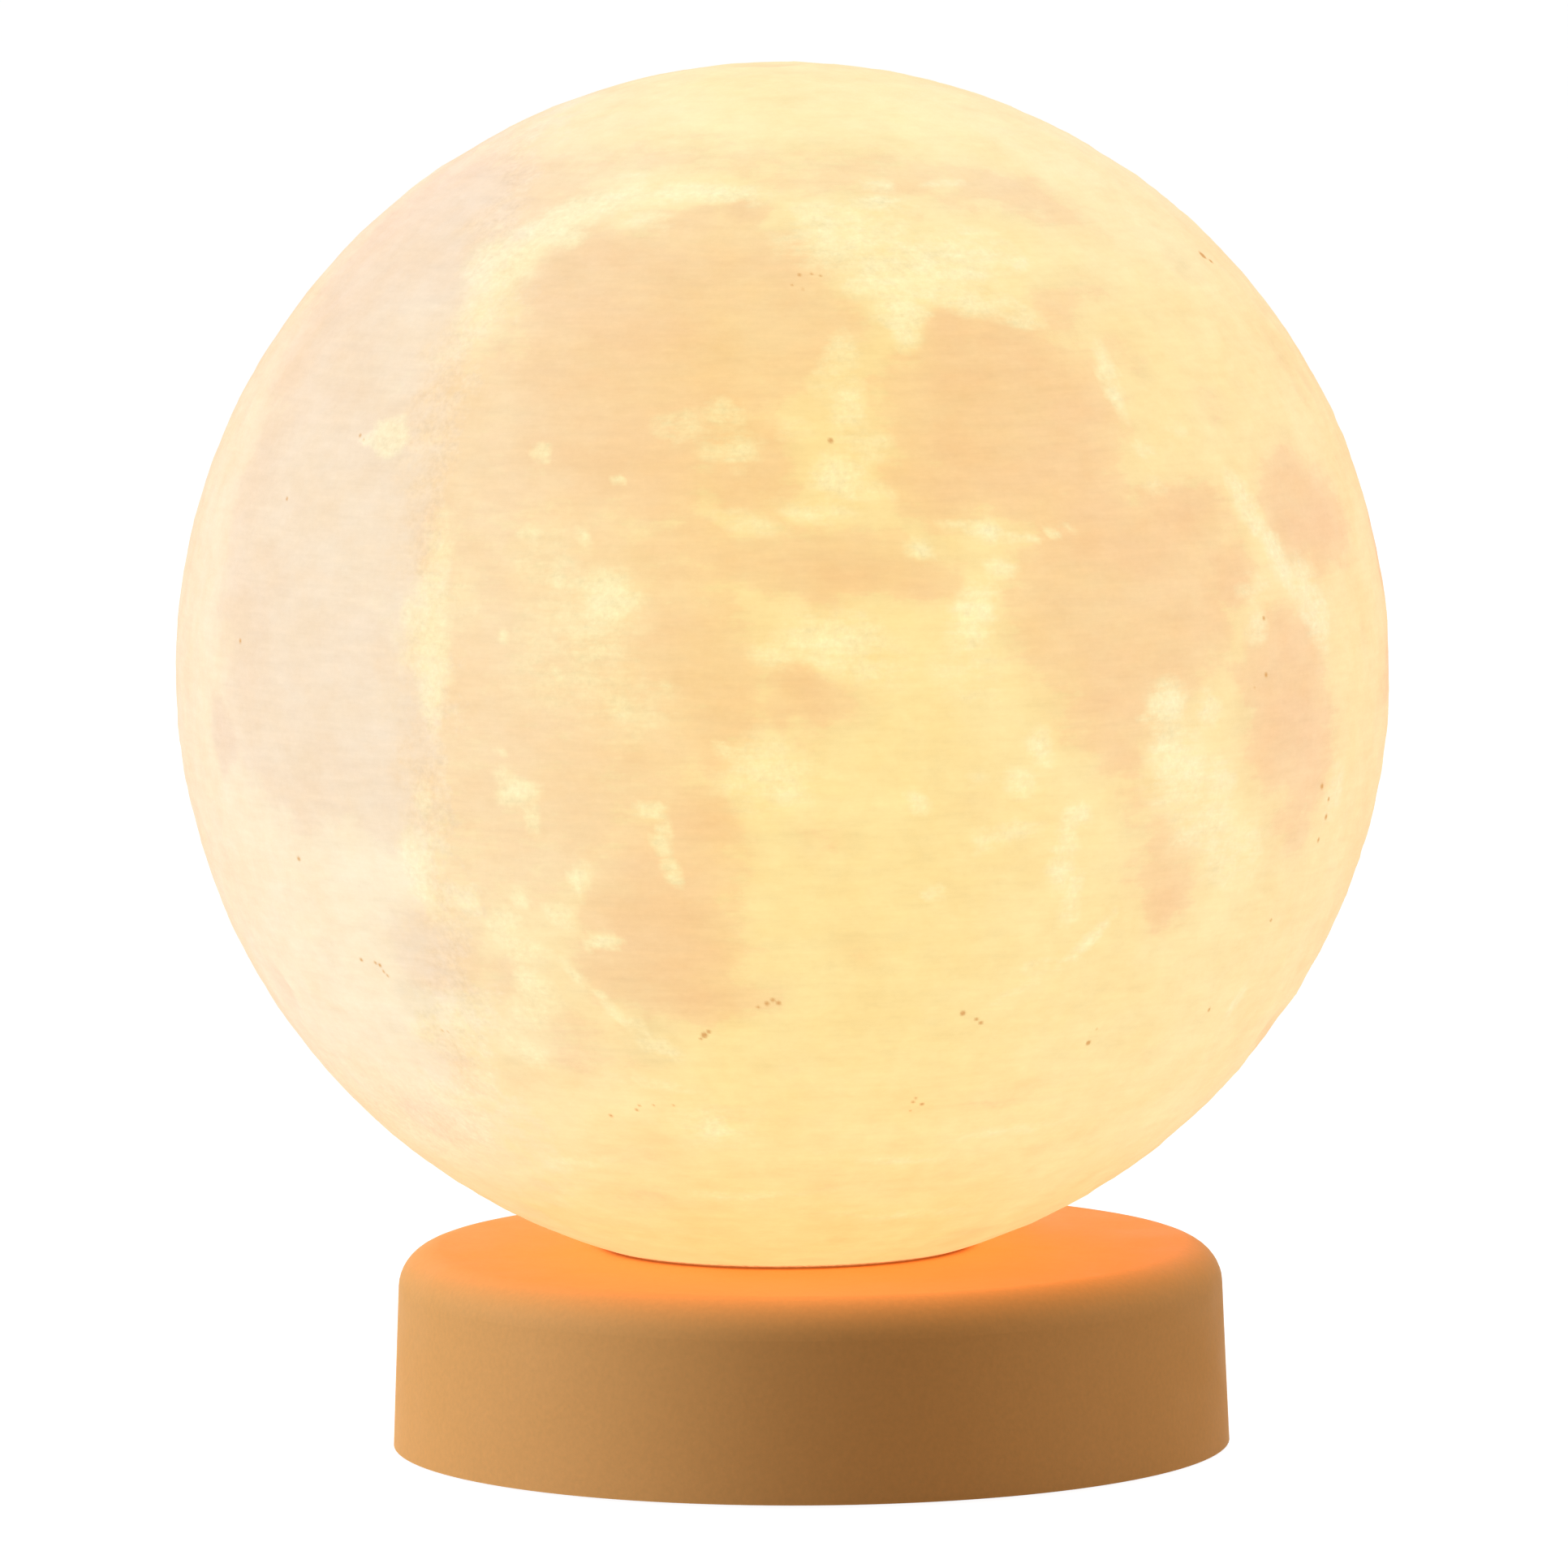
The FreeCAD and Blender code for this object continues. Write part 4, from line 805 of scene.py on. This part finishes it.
def moon_print():
    """Warm white print lit from inside: the lowlands are a little darker and pinker."""
    material, tree, shader = new_finish("moon_print")
    field = node(tree, "ShaderNodeAttribute", attribute_name="moon")
    shares = node(tree, "ShaderNodeSeparateColor", {0: field.outputs["Color"]})
    low, bright, speck = shares.outputs[:3]
    relief = field.outputs["Alpha"]
    ragged = plus(tree, times(tree, cloudy(tree, 240, 9, 0.72, (1, 1, 1.5)), 0.62),
                  times(tree, cloudy(tree, 130, 7, 0.68, (1, 1, 7)), 0.38))
    ragged = less(tree, ragged, 0.5)
    lowland, splash = shores(tree, low, bright, ragged)
    x, y, z = node(tree, "ShaderNodeSeparateXYZ", {0: places(tree)}).outputs[:3]
    # pale is the share of painted window light, which swaps in the paler colours on the left side.
    pale = painted_window_light(tree, x, y, z)
    highland, lowest, splashed = (
        mixed(tree, pale, seen_as(*right), seen_as(*left))
        for right, left in (highland_colours, lowland_colours, splash_colours)
    )
    colour = mixed(tree, splash, mixed(tree, lowland, highland, lowest), splashed)

    mottle = ranged(tree, cloudy(tree, 95, 9, 0.68, (1, 1, 1.3)), 0.36, 0.64)
    colour = mixed(tree, mottle, tinted(tree, colour, (0.99, 0.96, 0.93, 1)),
                   tinted(tree, colour, (1.01, 1.025, 1.06, 1)))
    rightwards = ranged(tree, x, 0.012, 0.060)
    colour = tinted_towards(tree, colour, rightwards, 1, 1.035, 1.25)
    top = ranged(tree, z, 0.135, 0.17, 0, 1, "SMOOTHSTEP")
    top = times(tree, top, ranged(tree, pale, 0, 1, 1, 0.15))
    colour = tinted_towards(tree, colour, top, 1, 1.13, 1.42)
    foot = ranged(tree, z, 0.046, 0.026, 0, 1, "SMOOTHSTEP")
    colour = tinted_towards(tree, colour, foot, 1, 0.92, 0.785)

    layers = cloudy(tree, 520, 2, 0.5, (0.12, 0.12, 5))
    pits = cloudy(tree, 1300, 3, 0.65)
    tone = ranged(tree, cloudy(tree, 60, 7, 0.7, (1, 1, 14)), 0.25, 0.75, 0.975, 1.025)
    tone = times(tree, tone, ranged(tree, layers, 0.3, 0.7, 0.994, 1.006))
    strokes = cloudy(tree, 220, 6, 0.65, (1, 1, 4.5))
    tone = times(tree, tone, ranged(tree, strokes, 0.3, 0.7, 0.97, 1.03))
    tone = times(tree, tone, ranged(tree, relief, -1.5, 1.5, 0.92, 1.08))
    # Fine pits in the glow: on the bright splashes they are rough ground in the print. Along the
    # edge of the painted window light they are painted shading of relief lit from the left.
    window_lit_border = ranged(tree, pale, 0.5, 0.62, 0, 0.5)
    window_lit_border = times(tree, window_lit_border, ranged(tree, pale, 0.95, 0.7))
    rough_ground_and_lit_pits = ranged(tree, worked(tree, "MAXIMUM", splash, window_lit_border), 0, 0.6, 0.07, 0.38)
    tone = plus(tree, tone, times(tree, less(tree, pits, 0.5), rough_ground_and_lit_pits))
    colour = tinted(tree, colour, tone)

    red = ranged(tree, z, 0.032, 0.056, 1.65, 1.02, "SMOOTHSTEP")
    warmth = node(tree, "ShaderNodeCombineColor", {0: red, 1: 1.0, 2: 0.97}).outputs[0]
    # The last few tenths of a millimetre above the foot glow dark reddish brown: a painted contact
    # shadow where the globe stands on the base.
    contact_shadow = plus(tree, z, times(tree, less(tree, pits, 0.5), 0.0004))
    contact_shadow = ranged(tree, contact_shadow, foot_z + 0.0006, foot_z + 0.0002)
    glow = mixed(tree, contact_shadow, tinted(tree, colour, warmth), seen_as(*contact_shadow_colour))
    feed(shader, "Emission Color", mixed(tree, speck, glow, seen_as(*speck_colour)))
    feed(shader, "Base Color", tinted(tree, colour, (0.11, 0.12, 0.12, 1)))
    for socket, value in (
        ("Emission Strength", 0.98), ("Roughness", 0.62), ("Specular IOR Level", 0.03),
        ("Coat Weight", 1.0), ("Coat Roughness", 0.6), ("Coat IOR", 1.01),
        ("Coat Tint", (0.997, 0.972, 0.975, 1)),
    ):
        shader.inputs[socket].default_value = value
    height = plus(tree, times(tree, layers, 0.35), times(tree, pits, 0.4))
    bumped(tree, shader, plus(tree, height, ragged), 0.0003, 0.5)
    return material


globe = bpy.data.objects.new("moon_globe", globe_mesh())
bpy.context.scene.collection.objects.link(globe)
globe.data.materials.append(moon_print())
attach(globe, "globe")
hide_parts("moon_shell")


# The studio is a pale floor that runs out of sight, under a large soft lamp on the left, a weaker
# one on the right and one behind. The floor is clear from below, so that the underside can be
# looked at.
floor_gap = 0.00005
floor_mesh = bpy.data.meshes.new("floor")
bm = bmesh.new()
bmesh.ops.create_grid(
    bm, x_segments=1, y_segments=1, size=12.0, matrix=Matrix.Translation((0, 0, -floor_gap))
)
bm.to_mesh(floor_mesh)
bm.free()
floor = bpy.data.objects.new("floor", floor_mesh)
bpy.context.scene.collection.objects.link(floor)


def seen_directly(tree):
    """1 for what the camera sees, straight or in gloss or glass, and 0 for other light."""
    path = node(tree, "ShaderNodeLightPath").outputs
    seen = worked(tree, "MAXIMUM", path["Is Camera Ray"], path["Is Glossy Ray"])
    return worked(tree, "MAXIMUM", seen, path["Is Transmission Ray"])


floor_paint, tree, shader = new_finish("floor_paint")
tree.nodes.remove(shader)
white = times(tree, seen_directly(tree), 0.95)
glow = node(tree, "ShaderNodeEmission", {"Color": (1, 1, 1, 1), "Strength": white})
matte = node(tree, "ShaderNodeBsdfDiffuse", {"Color": (0.48, 0.415, 0.37, 1)})
both = node(tree, "ShaderNodeAddShader", {0: glow.outputs[0], 1: matte.outputs[0]})
under = node(tree, "ShaderNodeNewGeometry").outputs["Backfacing"]
clear = node(tree, "ShaderNodeBsdfTransparent")
one_sided = node(tree, "ShaderNodeMixShader", {0: under, 1: both.outputs[0], 2: clear.outputs[0]})
tree.links.new(one_sided.outputs[0], tree.nodes["Material Output"].inputs["Surface"])
floor_mesh.materials.append(floor_paint)

world = bpy.data.worlds.new("studio")
bpy.context.scene.world = world
world.use_nodes = True
tree = world.node_tree
background = tree.nodes["Background"]
background.inputs["Color"].default_value = (1, 1, 1, 1)
tree.links.new(ranged(tree, seen_directly(tree), 0, 1, 0.145, 1.0), background.inputs["Strength"])


def soft_lamp(name, azimuth, height, distance, size, power, colour):
    """A square lamp that faces the object from an azimuth and a height, in degrees."""
    data = bpy.data.lights.new(name, "AREA")
    data.shape, data.size, data.energy, data.color = "SQUARE", size, power, colour
    lamp = bpy.data.objects.new(name, data)
    a, e = math.radians(azimuth), math.radians(height)
    out = Vector((math.sin(a) * math.cos(e), -math.cos(a) * math.cos(e), math.sin(e)))
    lamp.location = Vector((0, 0, 0.08)) + out * distance
    lamp.rotation_mode = "QUATERNION"
    lamp.rotation_quaternion = out.to_track_quat("Z", "Y")
    bpy.context.scene.collection.objects.link(lamp)


soft_lamp("window_left", -82, 12, 1.4, 0.8, 12.3, (0.91, 1.05, 1.27))
soft_lamp("fill_right", 88, 12, 1.6, 0.8, 5.4, (1.0, 1.0, 1.03))
soft_lamp("behind", 180, 40, 1.6, 1.2, 5, (1.0, 0.99, 0.97))
bpy.context.scene.view_settings.view_transform = "Standard"


# The camera stands well back and a little above the lamp, rolled by a hair, as the photograph was
# taken.
frame_width = 1932
focal_length = 14930
camera_distance = 1.5
camera_angle = math.radians(5.42)
camera_roll = math.radians(-0.42)
aim = Vector((0, 0, 0.09))
aim_right, aim_up = 28.2, 75.0

camera_data = bpy.data.cameras.new("camera")
camera_data.sensor_width = 36
camera_data.lens = camera_data.sensor_width * focal_length / frame_width
camera_data.clip_start, camera_data.clip_end = 0.1, 50
camera = bpy.data.objects.new("camera", camera_data)
bpy.context.scene.collection.objects.link(camera)
towards = Vector((0, math.cos(camera_angle), -math.sin(camera_angle)))
camera.location = aim - towards * camera_distance
right = Vector((1, 0, 0))
up = right.cross(towards)
sight = towards - (right * aim_right + up * aim_up) / focal_length
camera.rotation_mode = "QUATERNION"
roll = Matrix.Rotation(camera_roll, 3, "Z").to_quaternion()
camera.rotation_quaternion = sight.to_track_quat("-Z", "Y") @ roll
bpy.context.scene.camera = camera
